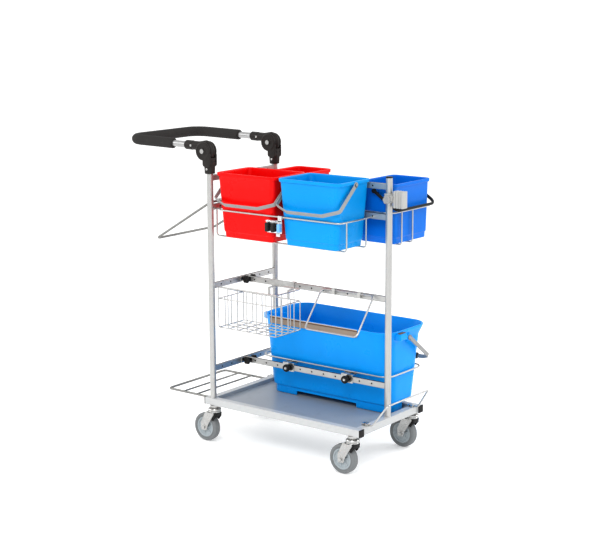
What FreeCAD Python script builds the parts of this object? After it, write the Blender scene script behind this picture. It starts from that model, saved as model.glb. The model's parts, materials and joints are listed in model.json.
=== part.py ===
import FreeCAD, Part
import math
import os

# Housekeeping cart, in millimetres. While it is being built, x and y are measured from the
# middle of the wheeled base and z from the floor: +X towards the single post, -X towards the
# push handle, -Y towards the side with the two wide buckets. The last step moves everything
# so that the origin is under the middle of the whole cart's box.
V = FreeCAD.Vector

# Base frame of square tube
TUBE = 25.0
TUBE_WALL = 1.5
RAIL_HALF = 328.0
RAIL_Y = 175.0
RAIL_BOTTOM = 133.0
RAIL_TOP = RAIL_BOTTOM + TUBE
CROSS_X = 312.0
RAIL_INSIDE = RAIL_Y - TUBE / 2
CROSS_INSIDE = CROSS_X - TUBE / 2
CROSS_OUTSIDE = CROSS_X + TUBE / 2
TRAY_FLOOR = 145.0
TRAY_SHEET = 1.5

# Posts and punched bars
POST_R = 11.0
POST_WALL = 1.5
LEFT_X = -300.0
RIGHT_X = CROSS_X
LEFT_POST_TOP = 976.0
RIGHT_POST_TOP = 956.0
BAR_HIGH = 20.0
BAR_DEEP = 10.0
BAR_WALL = 1.5
BAR_CORNER = 1.4
LOW, MID, SHELF, TOP = 262.0, 555.0, 827.0, 927.0
LEVELS = (LOW, MID, SHELF, TOP)
HOLE_R = 3.05
HOLE_PITCH = 50.0
HOLES = [HOLE_PITCH * k for k in range(-5, 6)]
CROSS_HOLES = (-130.0, -80.0, 80.0, 130.0)
JOINT_HOLE_X = -276.0
CROSS_FACE = LEFT_X + BAR_DEEP / 2
BAR_FACE = BAR_DEEP / 2
STUD_R = 3.0
CLAMP_X = RIGHT_X + 15.0

# Casters
CASTER_X = 295.0
CASTER_Y = RAIL_Y
TRAIL = 35.0
WHEEL_R = 50.0
HUB_R = 36.0
TYRE_WIDE = 28.0
AXLE_R = 4.0
KINGPIN_R = 6.0
RUNNING = 0.05

# Push handle
PIVOT_X = -315.0
PIVOT_Z = 1018.0
HANDLE_Y = 175.0
HANDLE_R = 11.0
HANDLE_LIFT = 15.0
HANDLE_RISE = 5.0
HANDLE_END_X = -665.0
HANDLE_BEND = 52.0
FOAM_R = 18.0
FOAM_START_X = -460.0
SOCKET_R = 17.0
SOCKET_Z = (942.0, 980.0)
CHEEK_R = 30.0
CHEEK_THICK = 7.5
CHEEK_GAP = 12.5
TONGUE_HALF = 12.0
ELBOW_R = 36.0

# Wire goods
WIRE = 3.0
UNDER_WIRE = 2.7
HOOP_WIRE = 4.0
RING_Z = 822.0
RING_NEAR_Y = -178.0
RING_RIGHT_X = 245.0
NEAR_UNDER_Y = (-142.0, -34.0)
FAR_RING_Z = 838.0
FAR_RING_Y = (9.0, 250.0)
FAR_RING_X = (-284.0, 315.0)
FAR_UNDER_Y = (70.0, 134.0)
RACK_END_X = -526.0
RACK_RODS_X = (-452.0, -391.0)
RACK_Y = (-157.0, 150.0)
RACK_Z = 150.0
BUMPER_FEET = (-124.0, 144.0)
GUARD_Z = 282.0
GUARD_X = (-243.0, 299.0)
GUARD_Y = (20.0, 236.0)
GUARD_KNOB_X = (-100.0, 150.0)
HOOP_PIVOT = (-316.0, 841.0)
HOOP_Y = 155.0
HOOP_OUT = (-570.0, 690.0)
FRONT_PIVOT = (-12.0, 562.0)
FRONT_X = (50.0, 262.0)
FRONT_OUT = (-110.0, 442.0)
BASKET_X = (-280.0, -30.0)
BASKET_Y = (-163.0, -30.0)
BASKET_Z = (410.0, 512.0, 552.0)

# Buckets: centre x, centre y, rim half sizes, bottom half sizes, bottom z, rim z
NEAR_Y = -94.0
NEAR_RIM = (126.0, 91.0)
NEAR_FOOT = (107.0, 74.0)
NEAR_Z = (730.0, 950.0)
RED_X = -144.0
SKY_X = 119.5
NEAR_PIVOT_Z = 938.0
FAR_Y = 139.0
FAR_RIM = (78.0, 112.0)
FAR_FOOT = (70.0, 101.0)
FAR_Z = (731.0, 930.0)
FAR_RED_X = -175.0
NAVY_X = 236.0
FAR_PIVOT_Z = 905.0
BUCKET_WALL = 2.5
FLANGE = 5.0
RIM_CORNER = 20.0
FOOT_CORNER = 14.0
BAIL_THICK = 3.5
BAIL_GAP = 0.6
BAIL_WIDE = 14.0
NEAR_DROOP = 41.0
NEAR_REACH = 143.0
NEAR_SHOULDER = 117.0
FAR_DROOP = 33.2
FAR_REACH = 108.0
TUB_DROOP = 37.0
TUB_REACH = 166.0
TUB_SHOULDER = 146.0
PIN_R = 4.0

# Big tub on the tray
TUB_Z = (147.0, 165.0, 395.0, 432.0)
TUB_WALL = 3.0
TUB_PIVOT_Y = 137.0
TUB_PIVOT_Z = 401.0
TUB_RIM_X = (-246.0, 306.0)
TUB_RIM_Y = (13.0, 265.0)
TUB_TOP_X = (-239.0, 293.0)
TUB_TOP_Y = (20.0, 250.0)
TUB_LOW_X = (-227.0, 288.0)
TUB_LOW_Y = (48.0, 205.0)
TUB_FOOT_X = (-225.0, 285.0)
TUB_FOOT_Y = (50.0, 158.0)


def box(x, y, z):
    """Block between pairs of x, y and z."""
    return Part.makeBox(x[1] - x[0], y[1] - y[0], z[1] - z[0], V(x[0], y[0], z[0]))


def rod(start, end, radius):
    """Round bar from one point to another."""
    run = V(*end) - V(*start)
    return Part.makeCylinder(radius, run.Length, V(*start), run)


def pipe(start, end, radius, bore):
    """Round tube from one point to another."""
    return rod(start, end, radius).cut(rod(start, end, bore))


def bent_line(points, bend):
    """Straight runs joined by tangent arcs of radius bend."""
    spots = [V(*point) for point in points]
    edges = []
    start = spots[0]
    for before, corner, after in zip(spots, spots[1:], spots[2:]):
        back = (before - corner).normalize()
        ahead = (after - corner).normalize()
        half = back.getAngle(ahead) / 2
        middle = (back + ahead).normalize()
        arc_in = corner + back * (bend / math.tan(half))
        arc_out = corner + ahead * (bend / math.tan(half))
        arc_mid = corner + middle * (bend / math.sin(half) - bend)
        edges.append(Part.LineSegment(start, arc_in).toShape())
        edges.append(Part.Arc(arc_in, arc_mid, arc_out).toShape())
        start = arc_out
    edges.append(Part.LineSegment(start, spots[-1]).toShape())
    return Part.Wire(edges)


def bent_rod(points, radius, bend):
    """Round bar along a bent line."""
    spine = bent_line(points, bend)
    start = V(*points[0])
    circle = Part.Circle(start, V(*points[1]) - start, radius)
    return spine.makePipeShell([Part.Wire(circle.toShape())], True, False)


def ring_rod(x, y, z, radius, bend, far_bend=None):
    """Closed rectangular ring of round bar lying at height z, made of two halves."""
    far_bend = far_bend or bend
    middle = (y[0] + y[1]) / 2
    near = bent_rod([(x[0], middle, z), (x[0], y[0], z), (x[1], y[0], z), (x[1], middle, z)], radius, bend)
    far = bent_rod([(x[0], middle, z), (x[0], y[1], z), (x[1], y[1], z), (x[1], middle, z)], radius,
                   far_bend)
    return near.fuse(far)


def outline(x, y, z, corner):
    """Rounded rectangle between pairs of x and y at height z."""
    flat = Part.makePlane(x[1] - x[0], y[1] - y[0], V(x[0], y[0], z))
    edges = []
    x0, x1, y0, y1 = x[0], x[1], y[0], y[1]
    slant = corner * (1 - math.sqrt(0.5))
    runs = [((x0 + corner, y0), (x1 - corner, y0), (x1 - slant, y0 + slant), (x1, y0 + corner)),
            ((x1, y0 + corner), (x1, y1 - corner), (x1 - slant, y1 - slant), (x1 - corner, y1)),
            ((x1 - corner, y1), (x0 + corner, y1), (x0 + slant, y1 - slant), (x0, y1 - corner)),
            ((x0, y1 - corner), (x0, y0 + corner), (x0 + slant, y0 + slant), (x0 + corner, y0))]
    for start, end, round_mid, round_end in runs:
        a, b, c, d = [V(px, py, flat.BoundBox.ZMin) for px, py in (start, end, round_mid, round_end)]
        edges.append(Part.LineSegment(a, b).toShape())
        edges.append(Part.Arc(b, c, d).toShape())
    return Part.Wire(edges)


def grow(pair, by):
    """A pair of limits moved outwards."""
    return (pair[0] - by, pair[1] + by)


def around(centre, half):
    """A pair of limits on both sides of a centre."""
    return (centre - half, centre + half)


def loft(*sections):
    """Solid through outlines, each given as x pair, y pair, height and corner radius."""
    return Part.makeLoft([outline(*section) for section in sections], True, True)


def rounded_bar(x, y, z, along, corner):
    """Solid bar along x or y whose four long edges are rounded."""
    bar = box(x, y, z)
    length = (x, y)["xy".index(along)]
    return bar.makeFillet(corner, [e for e in bar.Edges if abs(e.Length - length[1] + length[0]) < 0.01])


def square_tube(x, y, z, along):
    """Square tube whose wall is TUBE_WALL, open along x or y."""
    inside = [grow(pair, -TUBE_WALL) for pair in (x, y, z)]
    inside["xy".index(along)] = (x, y)["xy".index(along)]
    return rounded_bar(x, y, z, along, 2.0).cut(box(*inside))


def base_rails():
    x = around(0, RAIL_HALF)
    z = (RAIL_BOTTOM, RAIL_TOP)
    return [square_tube(x, around(side * RAIL_Y, TUBE / 2), z, "x") for side in (-1, 1)]


def base_cross_tubes():
    y = around(0, RAIL_INSIDE)
    z = (RAIL_BOTTOM, RAIL_TOP)
    return [square_tube(around(side * CROSS_X, TUBE / 2), y, z, "y") for side in (-1, 1)]


def end_caps():
    caps = []
    plug = TUBE / 2 - TUBE_WALL
    centre_z = RAIL_BOTTOM + TUBE / 2
    for side_x in (-1, 1):
        for side_y in (-1, 1):
            face = side_x * RAIL_HALF
            out = face + side_x * 4
            back = face - side_x * 14
            y = around(side_y * RAIL_Y, TUBE / 2)
            cover = box(sorted((face, out)), y, (RAIL_BOTTOM, RAIL_TOP))
            cover = cover.makeFillet(1.5, [e for e in cover.Edges if abs(e.CenterOfMass.x - out) < 0.1])
            fill = box(sorted((back, face)), around(side_y * RAIL_Y, plug), around(centre_z, plug))
            caps.append(cover.fuse(fill).removeSplitter())
    top = Part.makeCylinder(POST_R + 0.5, 4, V(RIGHT_X, 0, RIGHT_POST_TOP))
    top = top.makeFillet(1.5, [e for e in top.Edges if abs(e.CenterOfMass.z - top.BoundBox.ZMax) < 0.1])
    plug_r = POST_R - POST_WALL
    caps.append(top.fuse(Part.makeCylinder(plug_r, 14, V(RIGHT_X, 0, RIGHT_POST_TOP - 14))).removeSplitter())
    return caps


def tray():
    x = around(0, CROSS_INSIDE)
    y = around(0, RAIL_INSIDE)
    shell = box(x, y, (TRAY_FLOOR - TRAY_SHEET, RAIL_TOP - 1))
    return [shell.cut(box(grow(x, -TRAY_SHEET), grow(y, -TRAY_SHEET), (TRAY_FLOOR, RAIL_TOP)))]


def left_posts():
    inside = POST_R - POST_WALL
    return [pipe((LEFT_X, side * RAIL_Y, RAIL_TOP), (LEFT_X, side * RAIL_Y, LEFT_POST_TOP), POST_R, inside)
            for side in (-1, 1)]


def right_post():
    tube = pipe((RIGHT_X, 0, RAIL_TOP), (RIGHT_X, 0, RIGHT_POST_TOP), POST_R, POST_R - POST_WALL)
    return [tube]


def cross_bars():
    bars = []
    for level in LEVELS:
        y = around(0, RAIL_Y)
        z = around(level, BAR_HIGH / 2)
        bar = rounded_bar(around(LEFT_X, BAR_DEEP / 2), y, z, "y", BAR_CORNER)
        bar = bar.cut(box(around(LEFT_X, BAR_DEEP / 2 - BAR_WALL), y, grow(z, -BAR_WALL)))
        for side in (-1, 1):
            bar = bar.cut(rod((LEFT_X, side * RAIL_Y, z[0]), (LEFT_X, side * RAIL_Y, z[1]), POST_R))
        for hole in CROSS_HOLES:
            bar = bar.cut(rod((LEFT_X - BAR_DEEP, hole, level), (LEFT_X + BAR_DEEP, hole, level), HOLE_R))
        bars.append(bar)
    return bars


def long_bars():
    bars = []
    for level in LEVELS:
        x = (CROSS_FACE, RIGHT_X - POST_R / 2)
        z = around(level, BAR_HIGH / 2)
        bar = rounded_bar(x, around(0, BAR_FACE), z, "x", BAR_CORNER)
        bar = bar.cut(box(x, around(0, BAR_FACE - BAR_WALL), grow(z, -BAR_WALL)))
        bar = bar.cut(rod((RIGHT_X, 0, z[0]), (RIGHT_X, 0, z[1]), POST_R))
        for hole in [JOINT_HOLE_X] + HOLES:
            bar = bar.cut(rod((hole, -BAR_DEEP, level), (hole, BAR_DEEP, level), HOLE_R))
        bars.append(bar)
    return bars


def junction_brackets():
    """Angle plates that hold each long bar to its cross bar, one on either side."""
    plates = []
    sheet = 2.0
    for level in LEVELS:
        z = around(level, BAR_HIGH / 2 - 1)
        for side in (-1, 1):
            along = box((CROSS_FACE, CROSS_FACE + 33), sorted((side * BAR_FACE, side * (BAR_FACE + sheet))), z)
            across = box((CROSS_FACE, CROSS_FACE + sheet), sorted((side * BAR_FACE, side * 26)), z)
            plate = along.fuse(across).removeSplitter()
            hole = rod((JOINT_HOLE_X, side * 4, level), (JOINT_HOLE_X, side * 9, level), HOLE_R)
            plates.append(plate.cut(hole))
    return plates


def screw(point, direction, reach, head=5.0, shank=2.0):
    """Pan-head screw: the head stands on the point, the shank goes against direction."""
    way = V(*direction)
    top = Part.makeCylinder(head, 2.6, V(*point), way)
    top = top.makeFillet(1.2, [e for e in top.Edges
                               if abs((e.CenterOfMass - V(*point)).dot(way) - 2.6) < 0.01 and e.Closed])
    return top.fuse(Part.makeCylinder(shank, reach, V(*point), way * -1)).removeSplitter()


def frame_screws():
    """Bolts of the two upper bars' joints, and the hinge bolts of the handle."""
    pieces = handle_bolts()
    for level in (SHELF, TOP):
        for side in (-1, 1):
            start = (JOINT_HOLE_X, side * (BAR_FACE + 2), level)
            pieces.append(screw(start, (0, side, 0), 6, 5.0, STUD_R))
    return pieces


def star_knob(x, y, z, side, reach):
    """Six-lobed clamping knob facing along y, with its stud."""
    body = Part.makeCylinder(11, 11, V(x, y + side * 5, z), V(0, side, 0))
    for k in range(6):
        turn = math.radians(60 * k)
        lobe = V(x + 10 * math.cos(turn), y + side * 5, z + 10 * math.sin(turn))
        body = body.fuse(Part.makeCylinder(4.2, 11, lobe, V(0, side, 0)))
    body = body.fuse(Part.makeCylinder(7, 5, V(x, y, z), V(0, side, 0)))
    body = body.fuse(Part.makeCylinder(STUD_R, reach, V(x, y, z), V(0, -side, 0)))
    return body.removeSplitter()


def left_wire_rack():
    y = RACK_Y
    z = RACK_Z
    start = -CROSS_OUTSIDE
    out = RACK_END_X
    frame = bent_rod([(start, y[0], z), (out, y[0], z), (out, y[1], z), (start, y[1], z)], HOOP_WIRE, 14)
    for x in RACK_RODS_X:
        frame = frame.fuse(rod((x, y[0], z + 2), (x, y[1], z + 2), WIRE))
    return [frame]


def right_wire_bumper():
    z = RAIL_TOP + WIRE + 0.5
    near, far = BUMPER_FEET
    points = [(302, near, z), (338, near, z), (387, near + 12, 232),
              (387, far - 12, 232), (338, far, z), (302, far, z)]
    return [bent_rod(points, WIRE, 12)]


def bumper_clips():
    clips = []
    z = RAIL_TOP + WIRE + 0.5
    for foot in BUMPER_FEET:
        for x in (305, 317):
            block = box((x - 4, x + 4), around(foot, 10), (RAIL_TOP, z + WIRE + 2))
            edges = [e for e in block.Edges if e.CenterOfMass.z > z + WIRE and abs(e.CenterOfMass.x - x) < 1]
            block = block.makeFillet(3, edges)
            clips.append(block.cut(rod((x - 5, foot, z), (x + 5, foot, z), WIRE + 0.02)))
    return clips


def swing_hoop(pivot_a, pivot_b, out_a, out_b, radius, bend):
    """Rectangular hoop whose inner bar is its own hinge axle."""
    middle_in = [(a + b) / 2 for a, b in zip(pivot_a, pivot_b)]
    middle_out = [(a + b) / 2 for a, b in zip(out_a, out_b)]
    one = bent_rod([middle_in, pivot_a, out_a, middle_out], radius, bend)
    two = bent_rod([middle_in, pivot_b, out_b, middle_out], radius, bend)
    return one.fuse(two)


def bag_hoop():
    x, z = HOOP_PIVOT
    out_x, out_z = HOOP_OUT
    return [swing_hoop((x, -HOOP_Y, z), (x, HOOP_Y, z), (out_x, -HOOP_Y, out_z), (out_x, HOOP_Y, out_z),
                       HOOP_WIRE, 18)]


def front_hoop():
    y, z = FRONT_PIVOT
    out_y, out_z = FRONT_OUT
    a, b = FRONT_X
    return [swing_hoop((a, y, z), (b, y, z), (a, out_y, out_z), (b, out_y, out_z), WIRE, 14)]


def hoop_clips():
    """Blocks on the bars in which the two hoops' axles turn."""
    clips = []
    x, z = HOOP_PIVOT
    face = LEFT_X - BAR_DEEP / 2
    for y in (-105, 105):
        block = box((x - 7, face), around(y, 7), (SHELF + 2, z + 7))
        clips.append(block.cut(rod((x, y - 8, z), (x, y + 8, z), HOOP_WIRE + RUNNING)))
    y, z = FRONT_PIVOT
    for x in (100, 205):
        block = box(around(x, 6), (y - 6, -BAR_FACE), (MID - 6, z + 6))
        clips.append(block.cut(rod((x - 7, y, z), (x + 7, y, z), WIRE + RUNNING)))
    return clips


def under_wire(x, y, top, bottom):
    """Wire that drops from one side of a cradle, runs under the buckets and rises again."""
    points = [(x[0], y, top[0]), (x[0], y, bottom), (x[1], y, bottom), (x[1], y, top[1])]
    return bent_rod(points, UNDER_WIRE, 10)


def near_cradle():
    z = RING_Z
    beside = POST_R - RAIL_Y + 7
    points = [(CROSS_FACE, beside, z), (CROSS_FACE + 25, beside, z), (CROSS_FACE + 45, RING_NEAR_Y, z),
              (RING_RIGHT_X, RING_NEAR_Y, z), (RING_RIGHT_X, -BAR_FACE, z)]
    ring = bent_rod(points, WIRE, 20)
    bottom = NEAR_Z[0] - UNDER_WIRE - 0.3
    for y in NEAR_UNDER_Y:
        ring = ring.fuse(under_wire((LEFT_X, RING_RIGHT_X), y, (SHELF - BAR_HIGH / 2, z + 1), bottom))
    return [ring]


def far_cradle():
    ring = ring_rod(FAR_RING_X, FAR_RING_Y, FAR_RING_Z, WIRE, 32, 20)
    bottom = FAR_Z[0] - UNDER_WIRE - 0.3
    for y in FAR_UNDER_Y:
        ring = ring.fuse(under_wire(FAR_RING_X, y, (FAR_RING_Z + 1, FAR_RING_Z + 1), bottom))
    over = SHELF + BAR_HIGH / 2 + 0.2
    for x in (-200, -20, 130):
        strap = box(around(x, 7), (-BAR_FACE - 1.8, FAR_RING_Y[0]), (over, over + 1.5))
        lip = box(around(x, 7), (-BAR_FACE - 1.8, -BAR_FACE - 0.3), (over - 12, over + 1.5))
        ring = ring.fuse([strap, lip])
    face = LEFT_X - BAR_DEEP / 2
    strap = box((face - 1.8, FAR_RING_X[0]), (50, 64), (over, over + 1.5))
    lip = box((face - 1.8, face - 0.3), (50, 64), (over - 12, over + 1.5))
    return [ring.fuse([strap, lip]).removeSplitter()]


def guard_ring():
    return [ring_rod(GUARD_X, GUARD_Y, GUARD_Z, WIRE, 38)]


def guard_brackets():
    plates = []
    under = GUARD_Z - WIRE - 0.05
    for x in GUARD_KNOB_X:
        front = box(around(x, 24), (-BAR_FACE - 1.6, -BAR_FACE), (LOW - 13, under))
        over = box(around(x, 24), (-BAR_FACE - 1.6, GUARD_Y[0] + 4), (under - 1.6, under))
        plate = front.fuse(over).removeSplitter()
        slot = box(around(x + 12, 7), (-BAR_FACE + 2, GUARD_Y[0] - 5), (under - 2, under + 1))
        hole = rod((x, -9, LOW), (x, -4, LOW), HOLE_R)
        plates.append(plate.cut(slot).cut(hole))
    return plates


def caster_mount(x, y):
    plate = Part.makeCylinder(16, 5, V(x, y, RAIL_BOTTOM - 5))
    cone = Part.makeCone(11, 14, 5, V(x, y, RAIL_BOTTOM - 10))
    pin = Part.makeCylinder(KINGPIN_R, 22, V(x, y, RAIL_BOTTOM - 28))
    nut = Part.makeCylinder(10, 1.4, V(x, y, RAIL_BOTTOM - 29.4))
    return plate.fuse([cone, pin, nut]).removeSplitter()


def caster_fork(x, y):
    """Crown that turns on the kingpin, two legs, and the axle bolt through them."""
    crown_z = RAIL_BOTTOM - 10.4
    crown = Part.makeCylinder(22, 14, V(x, y, crown_z - 14))
    crown = crown.fuse(box((x - 26, x + 8), around(y, 20), (crown_z - 17, crown_z - 13)))
    crown = crown.cut(Part.makeCylinder(KINGPIN_R + RUNNING, 40, V(x, y, crown_z - 30)))
    crown = crown.cut(Part.makeCylinder(10.6, 2.2, V(x, y, RAIL_BOTTOM - 29.8)))
    axle_x = x - TRAIL
    legs = []
    for side in (-1, 1):
        leg_y = sorted((y + side * 17, y + side * 20))
        corners = [(x + 8, crown_z - 17), (x + 8, crown_z - 13), (x - 26, crown_z - 13),
                   (x - 26, crown_z - 17), (axle_x - 11, WHEEL_R), (axle_x + 11, WHEEL_R)]
        points = [V(px, leg_y[0], pz) for px, pz in corners]
        plate = Part.Face(Part.makePolygon(points + points[:1])).extrude(V(0, 3, 0))
        foot = Part.makeCylinder(11, 3, V(axle_x, leg_y[0], WHEEL_R), V(0, 1, 0))
        legs.append(plate.fuse(foot))
    axle = rod((axle_x, y - 22, WHEEL_R), (axle_x, y + 22, WHEEL_R), AXLE_R)
    heads = [rod((axle_x, y + side * 20, WHEEL_R), (axle_x, y + side * 25, WHEEL_R), 7) for side in (-1, 1)]
    return crown.fuse(legs + [axle] + heads).removeSplitter()


def wheel_hub(x, y):
    """Spoked centre with a tube for the axle."""
    x = x - TRAIL
    rim = pipe((x, y - 12, WHEEL_R), (x, y + 12, WHEEL_R), HUB_R, HUB_R - 5)
    web = rod((x, y - 3, WHEEL_R), (x, y + 3, WHEEL_R), HUB_R - 4)
    boss = rod((x, y - 16.5, WHEEL_R), (x, y + 16.5, WHEEL_R), 11)
    bore = rod((x, y - 20, WHEEL_R), (x, y + 20, WHEEL_R), AXLE_R + RUNNING)
    return rim.fuse([web, boss]).removeSplitter().cut(bore)


def wheel_tyre(x, y):
    x = x - TRAIL
    half = TYRE_WIDE / 2
    tyre = rod((x, y - half, WHEEL_R), (x, y + half, WHEEL_R), WHEEL_R)
    tyre = tyre.makeFillet(7, [e for e in tyre.Edges if e.Closed])
    return tyre.cut(rod((x, y - 20, WHEEL_R), (x, y + 20, WHEEL_R), HUB_R))


def knuckle_base(side):
    """Socket on the left post with the two cheeks of the handle's hinge."""
    y = side * HANDLE_Y
    low, high = SOCKET_Z
    body = rod((LEFT_X, y, low), (LEFT_X, y, high), SOCKET_R)
    body = body.fuse(box(around(LEFT_X, SOCKET_R - 1), around(y, CHEEK_GAP + 2), (low + 20, high)))
    for offset in (-CHEEK_GAP - CHEEK_THICK, CHEEK_GAP):
        disc = Part.makeCylinder(CHEEK_R, CHEEK_THICK, V(PIVOT_X, y + offset, PIVOT_Z), V(0, 1, 0))
        web = box(around(LEFT_X, SOCKET_R - 1), (y + offset, y + offset + CHEEK_THICK), (low + 20, PIVOT_Z))
        body = body.fuse([disc, web])
    body = body.removeSplitter()
    body = body.cut(rod((LEFT_X, y, low - 1), (LEFT_X, y, LEFT_POST_TOP), POST_R + 0.02))
    return body.cut(rod((PIVOT_X, y - 30, PIVOT_Z), (PIVOT_X, y + 30, PIVOT_Z), 5.0))


def handle_direction():
    run = V(HANDLE_END_X - PIVOT_X, 0, HANDLE_RISE)
    return run.normalize()


def handle_start(side):
    """Point straight above the hinge pin on the line of the handle tube."""
    return V(PIVOT_X, side * HANDLE_Y, PIVOT_Z + HANDLE_LIFT)


def knuckle_arm(side):
    """Tongue between the cheeks with the rounded outside of the elbow, and the tube's socket."""
    y = side * HANDLE_Y
    start = handle_start(side)
    way = handle_direction()
    tongue = Part.makeCylinder(24, 2 * TONGUE_HALF, V(PIVOT_X, y - TONGUE_HALF, PIVOT_Z), V(0, 1, 0))
    elbow = Part.makeCylinder(ELBOW_R, 2 * TONGUE_HALF, V(0, 0, 0), V(0, 0, 1), 160)
    elbow.rotate(V(0, 0, 0), V(0, 0, 1), -130)
    elbow.rotate(V(0, 0, 0), V(1, 0, 0), -90)
    elbow.translate(V(PIVOT_X, y - TONGUE_HALF, PIVOT_Z))
    neck = box((PIVOT_X - 40, PIVOT_X), around(y, TONGUE_HALF), around(start.z, 13))
    socket = Part.makeCylinder(15, 58, start + way * 31, way)
    body = tongue.fuse([elbow, neck, socket]).removeSplitter()
    body = body.cut(Part.makeCylinder(HANDLE_R + 0.02, 80, start + way * 45, way))
    return body.cut(rod((PIVOT_X, y - 30, PIVOT_Z), (PIVOT_X, y + 30, PIVOT_Z), PIN_R + RUNNING))


def handle_bolts():
    """Hinge bolts, with a head on the outer cheek and a nut on the inner one."""
    bolts = []
    for side in (-1, 1):
        y = side * HANDLE_Y
        bolt = rod((PIVOT_X, y - 20, PIVOT_Z), (PIVOT_X, y + 20, PIVOT_Z), PIN_R)
        heads = [rod((PIVOT_X, y + end * 20, PIVOT_Z), (PIVOT_X, y + end * 24, PIVOT_Z), 8)
                 for end in (-1, 1)]
        bolts.append(bolt.fuse(heads).removeSplitter())
    return bolts


def handle_points(from_x):
    """Line of the U-shaped handle, starting and ending at x along its two arms."""
    way = handle_direction()
    points = []
    for side in (-1, 1):
        first = handle_start(side)
        points.append(first + way * ((from_x - PIVOT_X) / way.x))
        points.append(first + way * ((HANDLE_END_X - PIVOT_X) / way.x))
    return [tuple(spot) for spot in (points[0], points[1], points[3], points[2])]


def handle_tube():
    points = handle_points(PIVOT_X - 46)
    outer = bent_rod(points, HANDLE_R, HANDLE_BEND)
    return [outer.cut(bent_rod(points, HANDLE_R - 1.5, HANDLE_BEND))]


def foam_grip():
    points = handle_points(FOAM_START_X)
    outer = bent_rod(points, FOAM_R, HANDLE_BEND)
    return [outer.cut(bent_rod(points, HANDLE_R + 0.02, HANDLE_BEND))]


def bucket(x, y, rim, foot, z, pivots, pivot_z):
    """Tapered bucket with a stepped foot, a rolled rim and a boss for the bail on two sides."""
    low, top = z
    step = low + 18
    share = (step - low) / (top - low)
    waist = [f + (r - FLANGE - f) * share for r, f in zip(rim, foot)]
    body_top = [r - FLANGE for r in rim]

    def shell(by, floor):
        at_foot = (around(x, foot[0] - 3 - by), around(y, foot[1] - 3 - by), floor, FOOT_CORNER - by)
        at_step = (around(x, waist[0] - 3 - by), around(y, waist[1] - 3 - by), step, FOOT_CORNER - by)
        above = (around(x, waist[0] - by), around(y, waist[1] - by), step + 3, FOOT_CORNER + 2 - by)
        at_top = (around(x, body_top[0] - by), around(y, body_top[1] - by), top, RIM_CORNER - 4 - by)
        return loft(at_foot, at_step, above, at_top)

    body = shell(0, low)
    band_low = (around(x, rim[0] - 1), around(y, rim[1] - 1), top - 11, RIM_CORNER - 1)
    band_top = (around(x, rim[0]), around(y, rim[1]), top, RIM_CORNER)
    body = body.fuse(loft(band_low, band_top))
    for side in (-1, 1):
        reach = rim[0] if pivots == "x" else rim[1]
        way = V(side, 0, 0) if pivots == "x" else V(0, side, 0)
        centre = V(x, y, pivot_z)
        body = body.fuse(Part.makeCylinder(10, 22, centre + way * (reach - 22), way))
    hollow = shell(BUCKET_WALL, low + 2 * BUCKET_WALL)
    cap = (around(x, body_top[0] - BUCKET_WALL), around(y, body_top[1] - BUCKET_WALL))
    cap_corner = RIM_CORNER - 4 - BUCKET_WALL
    body = body.cut(hollow.fuse(loft((*cap, top - 0.5, cap_corner), (*cap, top + 5, cap_corner))))
    for side in (-1, 1):
        reach = rim[0] if pivots == "x" else rim[1]
        way = V(side, 0, 0) if pivots == "x" else V(0, side, 0)
        start = V(x, y, pivot_z) + way * (reach - 12)
        body = body.cut(Part.makeCylinder(PIN_R + RUNNING, 20, start, way))
    return body.removeSplitter()


def strap_bail(pivot, half, reach, shoulder, grip, droop, side):
    """Flat strap bail in the plane through the pivots, hanging droop degrees below level.

    pivot is the midpoint between the pins, half is half the distance between the arms'
    inner faces, reach and shoulder are how far out the grip and the arms' bends lie, grip
    is half the grip's length, and side says whether it hangs towards -Y or +Y.
    """
    thick = BAIL_THICK
    line = [(half, -8), (half, shoulder), (grip, reach - thick), (-grip, reach - thick),
            (-half, shoulder), (-half, -8)]
    back = [(-half - thick, -8), (-half - thick, shoulder + 2), (-grip - 1, reach), (grip + 1, reach),
            (half + thick, shoulder + 2), (half + thick, -8)]
    points = [V(a, b * side, 0) for a, b in line + back]
    strap = Part.Face(Part.makePolygon(points + points[:1])).extrude(V(0, 0, BAIL_WIDE))
    strap.translate(V(0, 0, -BAIL_WIDE / 2))
    for end in (-1, 1):
        inner = V(end * half, 0, 0)
        strap = strap.fuse(Part.makeCylinder(9, thick, inner, V(end, 0, 0)))
        strap = strap.fuse(Part.makeCylinder(PIN_R, 9 + BAIL_GAP, inner, V(-end, 0, 0)))
    strap = strap.removeSplitter()
    strap.rotate(V(0, 0, 0), V(1, 0, 0), -side * droop)
    strap.translate(V(*pivot))
    return strap


def rod_bail(x, y, half, z, reach, droop):
    """Round bail with pins along y, hanging droop degrees below level towards +X."""
    arm = half + BAIL_GAP + 4.2
    points = [(0, -arm, 0), (reach, -arm, 0), (reach, arm, 0), (0, arm, 0)]
    bail = bent_rod(points, 4, 22)
    for side in (-1, 1):
        bail = bail.fuse(Part.makeCylinder(6, 8, V(0, side * arm - 4, 0), V(0, 1, 0)))
        pin = Part.makeCylinder(PIN_R, 12, V(0, side * arm, 0), V(0, -side, 0))
        bail = bail.fuse(pin)
    bail = bail.removeSplitter()
    bail.rotate(V(0, 0, 0), V(0, 1, 0), droop)
    bail.translate(V(x, y, z))
    return bail


def near_bail(x):
    return strap_bail((x, NEAR_Y, NEAR_PIVOT_Z), NEAR_RIM[0] + BAIL_GAP, NEAR_REACH, NEAR_SHOULDER, 71,
                      NEAR_DROOP, -1)


def far_bail(x):
    return rod_bail(x, FAR_Y, FAR_RIM[1], FAR_PIVOT_Z, FAR_REACH, FAR_DROOP)


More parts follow.
